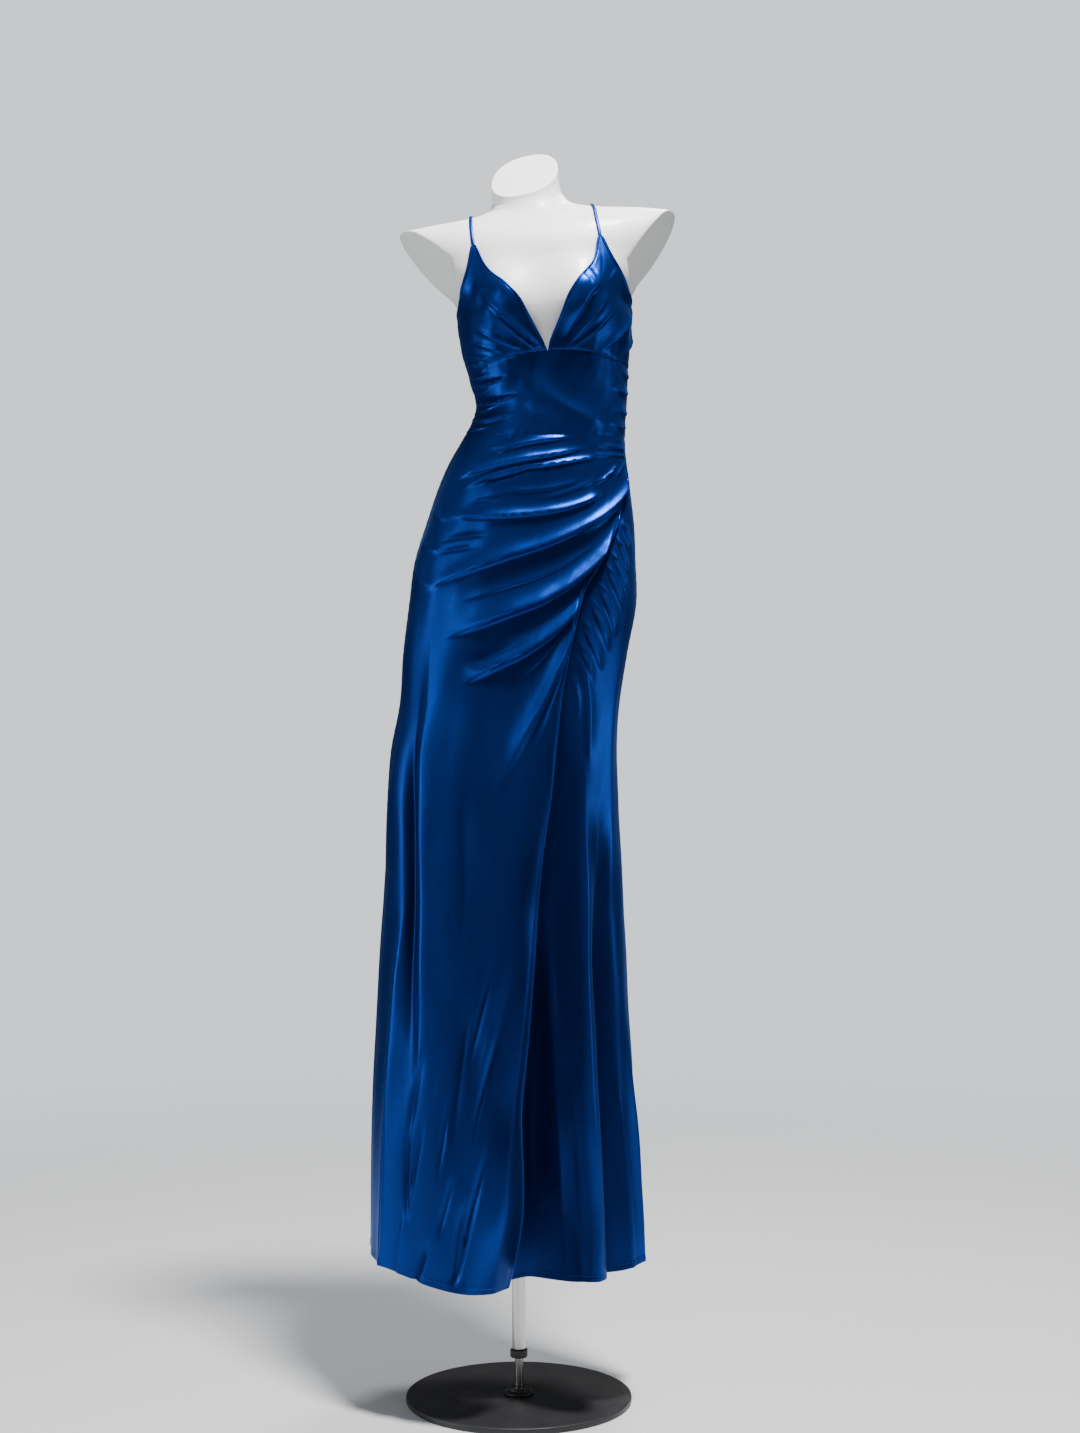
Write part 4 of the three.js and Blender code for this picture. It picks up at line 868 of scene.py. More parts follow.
def skirt_front_wrap():
    """The wrap lies on the figure with its folds raised, and beside the slit it rolls inwards.

    Its rows fan out from the gather line, as the folds do.
    """
    last = WRAP_ROWS["row"][-1]
    s, row = np.meshgrid(spread(*GRIDS["skirt_front_wrap"]["columns"]), wrap_rows())
    fanned = s ** WRAP_FAN
    angle = mix(-90 + side_seam_angle(WAIST_SEAM), wrap_edge_at(row_at_edge(row)), s)
    drawn = mix(row_at_side(row), row_at_edge(row), fanned)
    whole = WAIST_SEAM - mix(row_at_side(last), row_at_edge(last), fanned)
    height = mix(WAIST_SEAM - SEAM_GAP / 2, hem_at(angle), np.clip((WAIST_SEAM - drawn) / whole, 0, 1))
    base = figure_point(angle, height)
    edge_angle = wrap_edge_at(height)
    roll_start = edge_angle - ROLL["angle"]
    roll = np.clip((angle - edge_angle + ROLL["angle"]) / ROLL["angle"], 0, ROLL["limit"]) ** 2
    folds = skirt_hold(angle, height) * (fold_lift(WRAP_FOLDS, base) + slack("skirt_front_wrap", base))
    overlap = smooth_step(roll_start - OVERLAP["angle"], roll_start, angle)
    overlap = overlap * smooth_step(OVERLAP["low"], OVERLAP["high"], height)
    folds = mix(folds, np.maximum(folds, 0), overlap)
    to_side, to_edge, low, high = to_edges(base)
    sewn_down = mix(GATHER["share"], 1, smooth_step(0, GATHER["hold"], to_edge))
    folds = folds * mix(1, sewn_down, smooth_step(SLIT_TOP, SLIT_TOP + GATHER["fade"], height))
    lift = folds - ROLL["share"] * slit_depth_at(height) * roll
    edge = pressed_seam(high, to_side, WAIST_SINK) + pressed_seam(to_side, low)
    edge = edge + turned_edge(to_edge, **WRAP_SLIT_EDGE) + turned_edge(low, **HEM_EDGE)
    allowance = turned_in(high, to_side)
    return sew_panel("skirt_front_wrap_satin", angle, height, lift, edge, allowance)


def under_row_height(t, low):
    """Rows step evenly over three stretches: hem to slit top, slit top to gather, gather to waist."""
    slit_place, gather_place = UNDER_ROWS["slit_place"], UNDER_ROWS["gather_place"]
    waist = WAIST_SEAM - SEAM_GAP / 2
    lower = mix(low, SLIT_TOP, t / slit_place)
    middle = mix(SLIT_TOP, UNDER_ROWS["gather"], (t - slit_place) / (gather_place - slit_place))
    upper = mix(UNDER_ROWS["gather"], waist, (t - gather_place) / (1 - gather_place))
    return np.where(t > gather_place, upper, np.where(t > slit_place, middle, lower))


def skirt_front_under():
    """The under panel passes beneath the wrap and comes up to the figure beyond the wrap's edge."""
    s, t = panel_grid(GRIDS["skirt_front_under"])
    middle = under_row_height(t, hem_at(45))
    above_slit = smooth_step(UNDERLAP["low"], UNDERLAP["high"], middle)
    underlap = mix(UNDERLAP["angle_at_slit"], UNDERLAP["angle"], above_slit)
    angle = mix(wrap_edge_at(middle) - underlap, 90 - side_seam_angle(WAIST_SEAM), s)
    height = under_row_height(t, hem_at(angle))
    base = figure_point(angle, height)
    edge_angle = wrap_edge_at(height)
    beneath = 1 - smooth_step(edge_angle + UNDERLAP["start"], edge_angle + UNDERLAP["end"], angle)
    slit = 1 - smooth_step(edge_angle + UNDER_SLIT["start"], edge_angle + UNDER_SLIT["end"], angle)
    clear = smooth_step(edge_angle + UNDERLAP["start"], edge_angle + PLEAT_RISE_ANGLE, angle)
    folds = skirt_hold(angle, height) * (fold_lift(UNDER_FOLDS, base) + slack("skirt_front_under", base))
    lift = clear * folds - UNDERLAP["depth"] * beneath - slit_depth_at(height) * slit
    from_wrap, to_side, low, high = to_edges(base)
    edge = pressed_seam(high, from_wrap, WAIST_SINK) + pressed_seam(to_side, low)
    edge = edge + turned_edge(low, **HEM_EDGE)
    allowance = clear * turned_in(high, to_side)
    return sew_panel("skirt_front_under_satin", angle, height, lift, edge, allowance)


def skirt_back(side):
    name = "skirt_back_right" if side > 0 else "skirt_back_left"
    near = 90 + side_seam_angle(WAIST_SEAM)
    s, t = panel_grid(GRIDS["skirt_back"])
    far = 180 - centre_seam_angle(mix(hem_at(180), WAIST_SEAM, t))
    angle = mix(near, far, s) if side > 0 else mix(-far, -near, s)
    height = mix(hem_at(angle), WAIST_SEAM - SEAM_GAP / 2, t)
    base = figure_point(angle, height)
    hold = (smooth_step(90, 90 + SIDE_HOLD, np.abs(angle))
            * smooth_step(180, 180 - CENTRE_HOLD, np.abs(angle))
            * smooth_step(WAIST_SEAM, WAIST_SEAM - SEAM_HOLD, height))
    lift = hold * (fold_lift(BACK_FOLDS, base) + slack(name, base))
    to_side, to_centre, low, high = to_sides(base, side)
    beside_zip = smooth_step(ZIP_END["low"], ZIP_END["high"], height)
    edge = pressed_seam(high, lengths(base, 1), WAIST_SINK) + pressed_seam(to_side, low)
    edge = edge + turned_edge(low, **HEM_EDGE) + beside_zip * turned_edge(to_centre, **ZIP_EDGE)
    edge = edge + (1 - beside_zip) * pressed_seam(to_centre, low)
    allowance = turned_in(high, to_side) + (1 - beside_zip) * turned_in(to_centre)
    return sew_panel(name + "_satin", angle, height, lift, edge, allowance)


# Edges and stitches

def edge_roll(name, line, normals, radius):
    """A rolled edge: a round section along the line, its radius times 1 - taper * place ** 12, and place
    runs from -1 to 1.
    """
    place = np.linspace(-1, 1, len(line))
    reach = radius * (1 - EDGE_ROLL["taper"] * place ** 12)[:, None]
    middle = line - normals * WALL / 2
    side = unit(np.cross(unit(np.gradient(middle, axis=0)), normals))
    turn = np.linspace(0, 2 * np.pi, EDGE_ROLL["sides"], endpoint=False)[:, None]
    section = np.sin(turn) * (normals * reach)[:, None] + np.cos(turn) * (side * reach)[:, None]
    return capped_tube(name, middle[:, None] + section)


def line_inside(grid, distance):
    """The line that lies a distance inside a grid's first row, and its outward directions."""
    way = lengths(grid, 0)
    row = np.maximum(np.argmax(way > distance, axis=0), 1)
    column = np.arange(grid.shape[1])
    low, high = way[row - 1, column], way[row, column]
    share = ((distance - low) / (high - low))[:, None]
    normals = grid_normals(grid)
    return (mix(grid[row - 1, column], grid[row, column], share),
            unit(mix(normals[row - 1, column], normals[row, column], share)))


def stitches(name, rows):
    """Rows of stitches as spindles, half sunk in the cloth: radius girth * sqrt(1 - place squared)."""
    spindle, sides = np.linspace(-STITCH_REACH, STITCH_REACH, STITCH["rings"]), STITCH["sides"]
    points, faces = [], []
    total = 0
    for line, normals in rows:
        way = lengths(line, 0)
        spots = np.arange(STITCH["pitch"], way[-1] - STITCH["pitch"], STITCH["pitch"])
        sample = [np.stack([np.interp(spots, way, part[:, k]) for k in range(3)], axis=-1)
                  for part in (line, np.gradient(line, axis=0), normals)]
        at, along, out = sample[0], unit(sample[1]), unit(sample[2])
        side = np.cross(along, out)
        turn = np.linspace(0, 2 * np.pi, sides, endpoint=False)
        reach = STITCH["girth"] * np.sqrt(1 - spindle ** 2)
        section = np.cos(turn)[:, None] * side[:, None, None] + np.sin(turn)[:, None] * out[:, None, None]
        made = (at[:, None, None] + (along * STITCH["length"] / 2)[:, None, None] * spindle[:, None, None]
                + section * reach[:, None, None])
        points.append(made.reshape(-1, 3))
        each = STITCH["rings"] * sides
        quads = grid_faces(STITCH["rings"], sides, True)
        starts = total + each * np.arange(len(spots))
        faces += (quads[None] + starts[:, None, None]).reshape(-1, 4).tolist()
        faces += (np.arange(sides)[None, ::-1] + starts[:, None]).tolist()
        faces += (np.arange(each - sides, each)[None] + starts[:, None]).tolist()
        total += each * len(spots)
    return write_closed(name, np.concatenate(points), faces)


# Straps

def is_inside_form(across, depth, height):
    inset = inset_at(height)
    limit = depth_at(across, height, depth < 0, inset)
    return (np.abs(across) < half_width_at(height) - inset) & (np.abs(depth) < np.abs(limit))


def form_surface_at(across, bearing):
    """The form's surface along a ray from the strap's axis, found by halving. Bearing 0 is up, 90 back."""
    out_depth, out_height = np.sin(np.radians(bearing)), np.cos(np.radians(bearing))
    low, high = np.zeros_like(bearing), np.full_like(bearing, 400.0)
    for _ in range(40):
        distance = (low + high) / 2
        inside = is_inside_form(across, out_depth * distance, STRAP["axis_height"] + out_height * distance)
        low, high = np.where(inside, distance, low), np.where(inside, high, distance)
    return out_depth * low, STRAP["axis_height"] + out_height * low


def strap_route(side, t, shift=0.0):
    """Over the shoulder, and then across in step with the cotangent of the bearing, a straight way down."""
    front_top = CUP_TOP + STRAP["front_gap"]
    front = depth_at(STRAP["front_across"], front_top, True, 0)
    back_angle = 180 - angle_of_across(STRAP["back_across"], STRAP["back_height"])
    back_top = back_neckline_at(back_angle) + STRAP["back_gap"]
    back = depth_at(STRAP["back_across"], back_top, False, inset_at(back_top))
    start = np.degrees(np.arctan2(front, front_top - STRAP["axis_height"]))
    end = np.degrees(np.arctan2(back, back_top - STRAP["axis_height"]))
    bearing = mix(start, end, t)
    steep = 1 / np.tan(np.radians(np.maximum(bearing, STRAP["straight_from"])))
    steepest = 1 / math.tan(math.radians(STRAP["straight_from"]))
    low = ((steepest - steep) / (steepest - 1 / np.tan(np.radians(end)))) ** STRAP["inward"]
    high = smooth_step(start, 0, bearing)
    upper = mix(STRAP["front_across"], STRAP["shoulder_across"], high)
    across = mix(upper, STRAP["back_across"], low) + shift
    depth, height = form_surface_at(across, bearing)
    over_shoulder = smooth_step(STRAP["shoulder_lift_from"], STRAP["shoulder_lift_whole"], bearing)
    lift = (STRAP["shoulder_lift"] * high * over_shoulder
            + STRAP["back_lift"] * smooth_step(STRAP["back_lift_from"], end, bearing))
    return placed(side * across, depth, height), lift


def strap(side):
    """A rouleau: a flat oval section carried over the shoulder, with a seam dimple on its inner side."""
    t = np.linspace(0, 1, STRAP["rings"])
    place, lift = strap_route(side, t)
    along = unit(np.gradient(place, axis=0))
    sideways = strap_route(side, t, 1.0)[0] - strap_route(side, t, -1.0)[0]
    sideways = unit(sideways - np.sum(sideways * along, axis=1, keepdims=True) * along)
    out = unit(np.cross(along, sideways))
    axis = placed(side * STRAP["shoulder_across"], 0.0, float(STRAP["axis_height"]))
    out = out * np.sign(np.sum(out * (place - axis), axis=1, keepdims=True))
    place = place + out * (STRAP["thickness"] / 2 + REST_GAP + lift)[:, None]
    turn = np.linspace(0, 2 * np.pi, STRAP["sides"], endpoint=False)
    dimple = 1 - STRAP["dimple"] * np.exp(-((np.sin(turn) + 1) / STRAP["dimple_width"]) ** 2)
    to_end = np.minimum(t, 1 - t) * STRAP["rings"] / 2
    end = np.minimum(1, STRAP["end_share"] + (1 - STRAP["end_share"]) * to_end)[:, None, None]
    ring = (sideways[:, None] * (STRAP["width"] / 2 * np.cos(turn))[:, None]
            + out[:, None] * (STRAP["thickness"] / 2 * np.sin(turn) * dimple)[:, None])
    rings = place[:, None] + end * ring
    return capped_tube("strap_right_rouleau" if side > 0 else "strap_left_rouleau", rings)


# Dress form

def form_shell():
    """The figure less its inset, closed flat under the hips and over the slanted neck cut.

    The arms are cut by planes: across is the softer smallest of the section's own value, the plane's
    and the stub's outline.
    """
    body = np.concatenate([np.linspace(*stretch) for stretch in FORM_STRETCHES])
    below = np.full(len(FORM_BOTTOM_CAP), float(FORM_BOTTOM))
    above = FORM_TOP - np.array(FORM_TOP_CAP["below_top"])
    height = np.concatenate([below, body, above])[:, None]
    share = np.concatenate([FORM_BOTTOM_CAP, ring_share_at(body), FORM_TOP_CAP["share"]])[:, None]
    turn = np.linspace(-180, 180, FORM_COLUMNS, endpoint=False)
    angle = (turn + np.degrees(FORM_COLUMN_SHIFT * np.sin(np.radians(2 * turn))))[None, :]
    angle, height = np.broadcast_arrays(angle, height)
    across, depth = section_place(angle, height, half_width_at(height), inset_at(height))
    side = np.sign(across)
    shift = np.where(side < 0, ARM_CUT["left_shift"], 0)
    top, low = ARM_CUT["top_across"] - shift, ARM_CUT["low_across"] - shift
    rise = height - (ARM_CUT["top_height"] + ARM_CUT["low_height"]) / 2
    slope = (ARM_CUT["top_across"] - ARM_CUT["low_across"]) / (ARM_CUT["top_height"] - ARM_CUT["low_height"])
    cut_turn = math.radians(ARM_CUT["turn"])
    plane = (top + low) / 2 + rise * slope / math.cos(cut_turn) + depth * math.tan(cut_turn)
    outline = np.where(side < 0, arm_limit_left(height), arm_limit_right(height))
    limit = np.maximum(soft_min(plane, outline, ARM_CUT["outline_corner"]), ARM_CUT["least"])
    reach = np.abs(across)
    cut = (smooth_step(ARM_CUT["starts"], ARM_CUT["whole"], height)
           * smooth_step(ARM_CUT["starts_across"], ARM_CUT["whole_across"], reach))
    across = side * mix(reach, soft_min(reach, limit, ARM_CUT["corner"]), cut)
    axis = placed(0.0, 0.0, height)
    rings = axis + (placed(across, depth, height) - axis) * share[..., None]
    return capped_tube("form_shell", rings)


# Stand

def stand_pieces():
    """The stand's turned pieces, from the form's socket down to the base plate."""
    top = FORM_BOTTOM - REST_GAP
    under = top - SOCKET["flange_thickness"]
    low = under - SOCKET["sleeve_length"]
    bore = TUBE["radius"] + RUNNING_GAP
    tube_top = under - REST_GAP
    rod_bore = ROD["radius"] + RUNNING_GAP
    plate_top = PLATE["thickness"]
    collar_top = COLLAR["bottom"] + COLLAR["height"]
    chamfer = COLLAR["chamfer"]
    return {
        "form_socket": turned("form_socket_flange", [
            (CENTRE, under), (bore, under), (bore, low), (SOCKET["sleeve_radius"], low),
            (SOCKET["sleeve_radius"], under), (SOCKET["flange_radius"], under),
            (SOCKET["flange_radius"], top), (CENTRE, top)], SOCKET["edge"]),
        "upper_tube": turned("upper_tube_steel", [
            (TUBE["bore"], TUBE["bottom"]), (TUBE["radius"], TUBE["bottom"]), (TUBE["radius"], tube_top),
            (TUBE["bore"], tube_top)], TUBE["edge"]),
        "collar": turned("collar_grip", [
            (rod_bore, COLLAR["bottom"]), (COLLAR["radius"] - chamfer, COLLAR["bottom"]),
            (COLLAR["radius"], COLLAR["bottom"] + chamfer), (COLLAR["radius"], collar_top - chamfer),
            (COLLAR["radius"] - chamfer, collar_top), (rod_bore, collar_top)], COLLAR["edge"],
            COLLAR["segments"], COLLAR["ribs"], COLLAR["rib_depth"], COLLAR["radius"] - 1),
        "lower_rod": turned("lower_rod_steel", [
            (CENTRE, plate_top + REST_GAP), (ROD["radius"], plate_top + REST_GAP),
            (ROD["radius"], ROD["top"]), (CENTRE, ROD["top"])], ROD["edge"]),
        "base_hub": turned("base_hub_boss", [
            (rod_bore, plate_top + REST_GAP), (HUB["radius"], plate_top + REST_GAP),
            (HUB["radius"], plate_top + HUB["foot"]), (HUB["neck_radius"], plate_top + HUB["slope_top"]),
            (HUB["neck_radius"], HUB["top"]), (rod_bore, HUB["top"])], HUB["edge"]),
        "base_plate": turned("base_plate_disc", [
            (CENTRE, 0), (PLATE["radius"], 0), (PLATE["radius"], plate_top), (CENTRE, plate_top)],
            PLATE["edge"], PLATE["segments"]),
    }


# Zip

ZIP = dict(top=1411, width=5, length=9, thickness=1.6, stand=2.4, post_width=1, post_length=2, pin=0.7,
           pull_width=5.4, pull_length=21, pull_thickness=1.2, neck=2, eye_wall=0.45, play=0.35)
DISH_WIDTH = 0.62
# Shares of their width and thickness that the slider's body and posts keep at their rounded ends
SLIDER_ENDS = dict(power=8, width=0.5, thickness=0.4, post=0.6)
# The slider's body is narrower below, and the pull widens from its eye and has a dish in its lower half
SLIDER_NARROW = dict(share=0.84, start=-0.1, end=0.6)
PULL = dict(start=0.1, widens_from=0.05, widens_to=0.85, tip=0.0004, end_share=0.55, end_length=1.2,
            dish=0.45, dish_from=(0.3, 0.5), dish_to=(0.95, 0.88))


def plate_shape(name, down, half_width, half_thickness, dish=0.0, sides=28, power=0.42):
    """A small plate as oval sections across its length, each cosine and sine drawn to a squarer corner.

    The dish hollows both faces by its share, times exp(-(across / DISH_WIDTH) ** 4).
    """
    turn = np.linspace(0, 2 * np.pi, sides, endpoint=False)[None, :]
    across = np.sign(np.cos(turn)) * np.abs(np.cos(turn)) ** power
    out = np.sign(np.sin(turn)) * np.abs(np.sin(turn)) ** power
    out = out * (1 - np.reshape(dish, (-1, 1)) * np.exp(-(across / DISH_WIDTH) ** 4))
    parts = np.broadcast_arrays(half_width[:, None] * across, half_thickness[:, None] * out, down[:, None])
    return capped_tube(name, np.stack(parts, axis=-1))


def joined(name, pieces):
    """One piece from several, each a closed shape of its own."""
    shape = bmesh.new()
    for piece in pieces:
        shape.from_mesh(piece.data)
        bpy.data.objects.remove(piece)
    mesh = bpy.data.meshes.new(name)
    shape.to_mesh(mesh)
    shape.free()
    whole = bpy.data.objects.new(name, mesh)
    bpy.context.scene.collection.objects.link(whole)
    return whole


def zip_pieces():
    """The slider with its bridge, and the pull that hangs from the bridge's pin."""
    height = float(ZIP["top"] - ZIP["length"] / 2)
    normal = figure_normal(180.0, height)
    stand = ZIP["stand"] + ZIP["thickness"] + REST_GAP
    place = figure_point(180.0, height) + normal * stand
    leaning = Matrix.Rotation(math.atan2(normal[2], normal[1]), 4, "X")
    upright = Matrix.Translation(Vector(place * MM)) @ leaning
    sideways = Matrix.Rotation(math.pi / 2, 4, "Y")
    standing = Matrix.Rotation(math.pi / 2, 4, "X")

    t = np.linspace(-1, 1, 25)
    rim = np.sqrt(np.maximum(0, 1 - np.abs(t) ** SLIDER_ENDS["power"]))
    widening = smooth_step(SLIDER_NARROW["start"], SLIDER_NARROW["end"], t)
    width = ZIP["width"] / 2 * mix(SLIDER_NARROW["share"], 1, widening) * mix(SLIDER_ENDS["width"], 1, rim)
    thickness = ZIP["thickness"] / 2 * mix(SLIDER_ENDS["thickness"], 1, rim)
    body = plate_shape("slider_body", t * ZIP["length"] / 2, width, thickness)
    body.data.transform(Matrix.Translation((0, -(ZIP["stand"] + ZIP["thickness"] / 2) * MM, 0)))
    post_across = ZIP["neck"] / 2 + ZIP["play"] + ZIP["post_width"] / 2
    post_depth = ZIP["stand"] + ZIP["thickness"] / 2 + ZIP["pin"]
    post_end = mix(SLIDER_ENDS["post"], 1, rim)
    parts = [body]
    for side in (-1, 1):
        post = plate_shape("slider_post", t * post_depth / 2, ZIP["post_width"] / 2 * post_end,
                           ZIP["post_length"] / 2 * post_end)
        at = (side * post_across * MM, (ZIP["pin"] - post_depth / 2) * MM, 0)
        post.data.transform(Matrix.Translation(at) @ standing)
        parts.append(post)
    reach = post_across + ZIP["post_width"] / 2
    section = [(CENTRE, -reach), (ZIP["pin"], -reach), (ZIP["pin"], reach), (CENTRE, reach)]
    pin = turned("slider_pin", section, 0.2, 32)
    pin.data.transform(sideways)
    slider = joined("zip_slider_bridge", parts + [pin])

    eye = ZIP["pin"] + ZIP["play"]
    loop = eye + ZIP["eye_wall"]
    half_neck = ZIP["neck"] / 2
    section = [(eye, -half_neck), (loop, -half_neck), (loop, half_neck), (eye, half_neck)]
    ring = turned("pull_eye", section, 0.2, 40)
    ring.data.transform(sideways)
    s = np.linspace(0, 1, 60)
    end = ZIP["pull_width"] / 2
    down = -mix(eye + PULL["start"], ZIP["pull_length"], s)
    from_end = ZIP["pull_length"] + down
    round_end = np.sqrt(np.clip(1 - (1 - np.clip(from_end / end, 0, 1)) ** 2, PULL["tip"], 1))
    half_width = mix(half_neck, end, smooth_step(PULL["widens_from"], PULL["widens_to"], s)) * round_end
    thinned = PULL["end_share"] + from_end / PULL["end_length"] * (1 - PULL["end_share"])
    dish = PULL["dish"] * smooth_step(*PULL["dish_from"], s) * smooth_step(*PULL["dish_to"], s)
    half_thickness = ZIP["pull_thickness"] / 2 * np.minimum(1, thinned)
    blade = plate_shape("pull_blade", down, half_width, half_thickness, dish)
    pull = joined("zip_pull_tab", [ring, blade])
    for piece in (slider, pull):
        piece.data.transform(upright)
    return slider, pull


# Materials

def feed(tree, node, inputs):
    """Gives a node's named inputs their values or links."""
    for name, value in inputs.items():
        if isinstance(value, bpy.types.NodeSocket):
            tree.links.new(value, node.inputs[name])
        else:
            node.inputs[name].default_value = value


def add(tree, kind, inputs, **settings):
    """A shader node with its settings and inputs."""
    made = tree.nodes.new("ShaderNode" + kind)
    for name, value in settings.items():
        setattr(made, name, value)
    feed(tree, made, inputs)
    return made


def new_group(name, inputs, outputs):
    """A node group with named inputs and outputs, each given as name, socket kind and first value."""
    tree = bpy.data.node_groups.new(name, "ShaderNodeTree")
    for label, kind, value in inputs:
        socket = tree.interface.new_socket(label, in_out="INPUT", socket_type="NodeSocket" + kind)
        if value is not None:
            socket.default_value = value
    for label, kind in outputs:
        tree.interface.new_socket(label, in_out="OUTPUT", socket_type="NodeSocket" + kind)
    return tree, tree.nodes.new("NodeGroupInput"), tree.nodes.new("NodeGroupOutput")


def satin_weave_group():
    """Satin's long floats as fine lines along the warp, broken by slubs and soft bands of polish."""
    tree, given, out = new_group("satin_weave", [("Vector", "Vector", None), ("Floats", "Float", 1400.0)],
                                 [("Height", "Float"), ("Tone", "Float"), ("Polish", "Float")])
    place = given.outputs["Vector"]
    scaled = add(tree, "VectorMath", {0: place, "Scale": given.outputs["Floats"]}, operation="SCALE")
    weave = add(tree, "TexWave", {"Vector": scaled.outputs[0], "Scale": 1.0, "Distortion": 1.4, "Detail": 2.0,
                                  "Detail Scale": 0.6}, bands_direction="DIAGONAL")
    slubs = add(tree, "Mapping", {"Vector": place, "Scale": (900.0, 60.0, 1.0)})
    slub = add(tree, "TexNoise", {"Vector": slubs.outputs[0], "Scale": 1.0, "Detail": 3.0, "Roughness": 0.6})
    bands = add(tree, "Mapping", {"Vector": place, "Scale": (34.0, 9.0, 1.0)})
    band = add(tree, "TexNoise", {"Vector": bands.outputs[0], "Scale": 1.0, "Detail": 4.0, "Roughness": 0.55})
    height = add(tree, "Math", {0: weave.outputs["Fac"], 1: FLOATS_SHARE, 2: slub.outputs["Fac"]},
                 operation="MULTIPLY_ADD")
    feed(tree, out, {"Height": height.outputs[0], "Tone": slub.outputs["Fac"], "Polish": band.outputs["Fac"]})
    return tree


def surface_wear_group():
    """Fine grain and faint rubbed scratches for hard finishes, on object coordinates."""
    tree, given, out = new_group("surface_wear", [("Vector", "Vector", None), ("Grain", "Float", 900.0)],
                                 [("Height", "Float"), ("Rub", "Float")])
    place = given.outputs["Vector"]
    grain = add(tree, "TexNoise", {"Vector": place, "Scale": given.outputs["Grain"], "Detail": 2.0})
    rub = add(tree, "TexNoise", {"Vector": place, "Scale": 22.0, "Detail": 6.0, "Roughness": 0.7})
    feed(tree, out, {"Height": grain.outputs["Fac"], "Rub": rub.outputs["Fac"]})
    return tree


# How much the floats stand out beside the slubs
FLOATS_SHARE = 0.6
SATIN_WEAVE = satin_weave_group()
SURFACE_WEAR = surface_wear_group()


def new_material(name):
    material = bpy.data.materials.new(name)
    material.use_nodes = True
    tree = material.node_tree
    return material, tree, tree.nodes["Principled BSDF"]


def span(tree, value, low, high, from_low=0.3, from_high=0.7):
    """A value between two limits that follows another value's middle range."""
    made = add(tree, "MapRange", {"Value": value, "From Min": from_low, "From Max": from_high, "To Min": low,
                                  "To Max": high})
    return made.outputs["Result"]


def satin(name, floats):
    """Royal blue satin with a sharp sheen drawn out across the floats, and painted shade on its folds."""
    material, tree, shader = new_material(name)
    uv = add(tree, "UVMap", {}, uv_map="cloth")
    weave = add(tree, "Group", {"Vector": uv.outputs["UV"], "Floats": floats}, node_tree=SATIN_WEAVE)
    crest = add(tree, "Attribute", {}, attribute_name="crest")
    # Painted shade and painted highlight: the fold height darkens the colour in hollows and lightens it on
    # crests
    depth = span(tree, crest.outputs["Fac"], 0.0, 1.0, -0.5, 0.4)
    # A is the dark colour painted into the hollows, B the lighter colour painted on the crests; flat cloth
    # lies between
    dye_and_painted_shade = add(tree, "Mix", {"Factor": depth, "A": (0.0008, 0.012, 0.1, 1), "B": (0.0022, 0.03, 0.23, 1)},
              data_type="RGBA")
    tone = add(tree, "HueSaturation", {"Color": dye_and_painted_shade.outputs[2],
                                       "Value": span(tree, weave.outputs["Tone"], 0.9, 1.1)})
    bump = add(tree, "Bump", {"Strength": 0.25, "Distance": 0.00006, "Height": weave.outputs["Height"]})
    tangent = add(tree, "Tangent", {}, direction_type="UV_MAP", uv_map="cloth")
    feed(tree, shader, {
        "Base Color": tone.outputs[0], "Roughness": span(tree, weave.outputs["Polish"], 0.27, 0.37),
        "Normal": bump.outputs[0], "Tangent": tangent.outputs[0], "Metallic": 0.75, "Anisotropic": 0.5,
        "Specular IOR Level": 0.35, "Specular Tint": (0.45, 0.6, 1.0, 1),
        "Sheen Weight": 0.05, "Sheen Roughness": 0.4, "Sheen Tint": (0.2, 0.4, 1.0, 1)})
    return material


RUBBED = dict(smoothest=0.85, roughest=1.25)


def worn(tree, grain):
    """The wear group on object coordinates."""
    place = add(tree, "TexCoord", {})
    return add(tree, "Group", {"Vector": place.outputs["Object"], "Grain": grain}, node_tree=SURFACE_WEAR)


def hard_finish(name, colour, roughness, metallic, grain, bump_height, coat=0.0, tone=0.06):
    """A hard finish whose tone and roughness follow the wear group, with grain as a fine bump."""
    material, tree, shader = new_material(name)
    wear = worn(tree, grain)
    rub = wear.outputs["Rub"]
    shade = add(tree, "HueSaturation", {"Color": (*colour, 1), "Value": span(tree, rub, 1 - tone, 1 + tone)})
    bump = add(tree, "Bump", {"Strength": 0.3, "Distance": bump_height, "Height": wear.outputs["Height"]})
    feed(tree, shader, {
        "Base Color": shade.outputs[0], "Normal": bump.outputs[0], "Metallic": metallic,
        "Roughness": span(tree, rub, roughness * RUBBED["smoothest"], roughness * RUBBED["roughest"]),
        "Coat Weight": coat, "Coat Roughness": 0.08})
    return material


GOWN_SATIN = satin("gown_satin", 1400.0)
ROULEAU_SATIN = hard_finish("rouleau_satin", (0.002, 0.028, 0.22), 0.4, 0.75, 2600.0, 0.00004)
THREAD = hard_finish("polyester_thread", (0.003, 0.04, 0.26), 0.45, 0.2, 3000.0, 0.00003)
FORM_WHITE = hard_finish("form_white_lacquer", (0.9, 0.9, 0.89), 0.42, 0.0, 260.0, 0.00003, 0.08, 0.015)
STEEL = hard_finish("brushed_steel", (0.5, 0.49, 0.47), 0.22, 1.0, 1500.0, 0.00002)
POWDER_BLACK = hard_finish("powder_black", (0.018, 0.018, 0.02), 0.45, 0.1, 1400.0, 0.00005)
ZIP_NICKEL = hard_finish("zip_nickel", (0.5, 0.52, 0.56), 0.25, 1.0, 1800.0, 0.00002)


def finish(piece, material, slot, body, *nodes):
    """Gives a piece its material and the body that it rides on; its record slot is not used."""
    piece.data.materials.clear()
    piece.data.materials.append(material)
    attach(piece, body)
    if nodes:
        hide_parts(*nodes)


# Camera, floor and lights

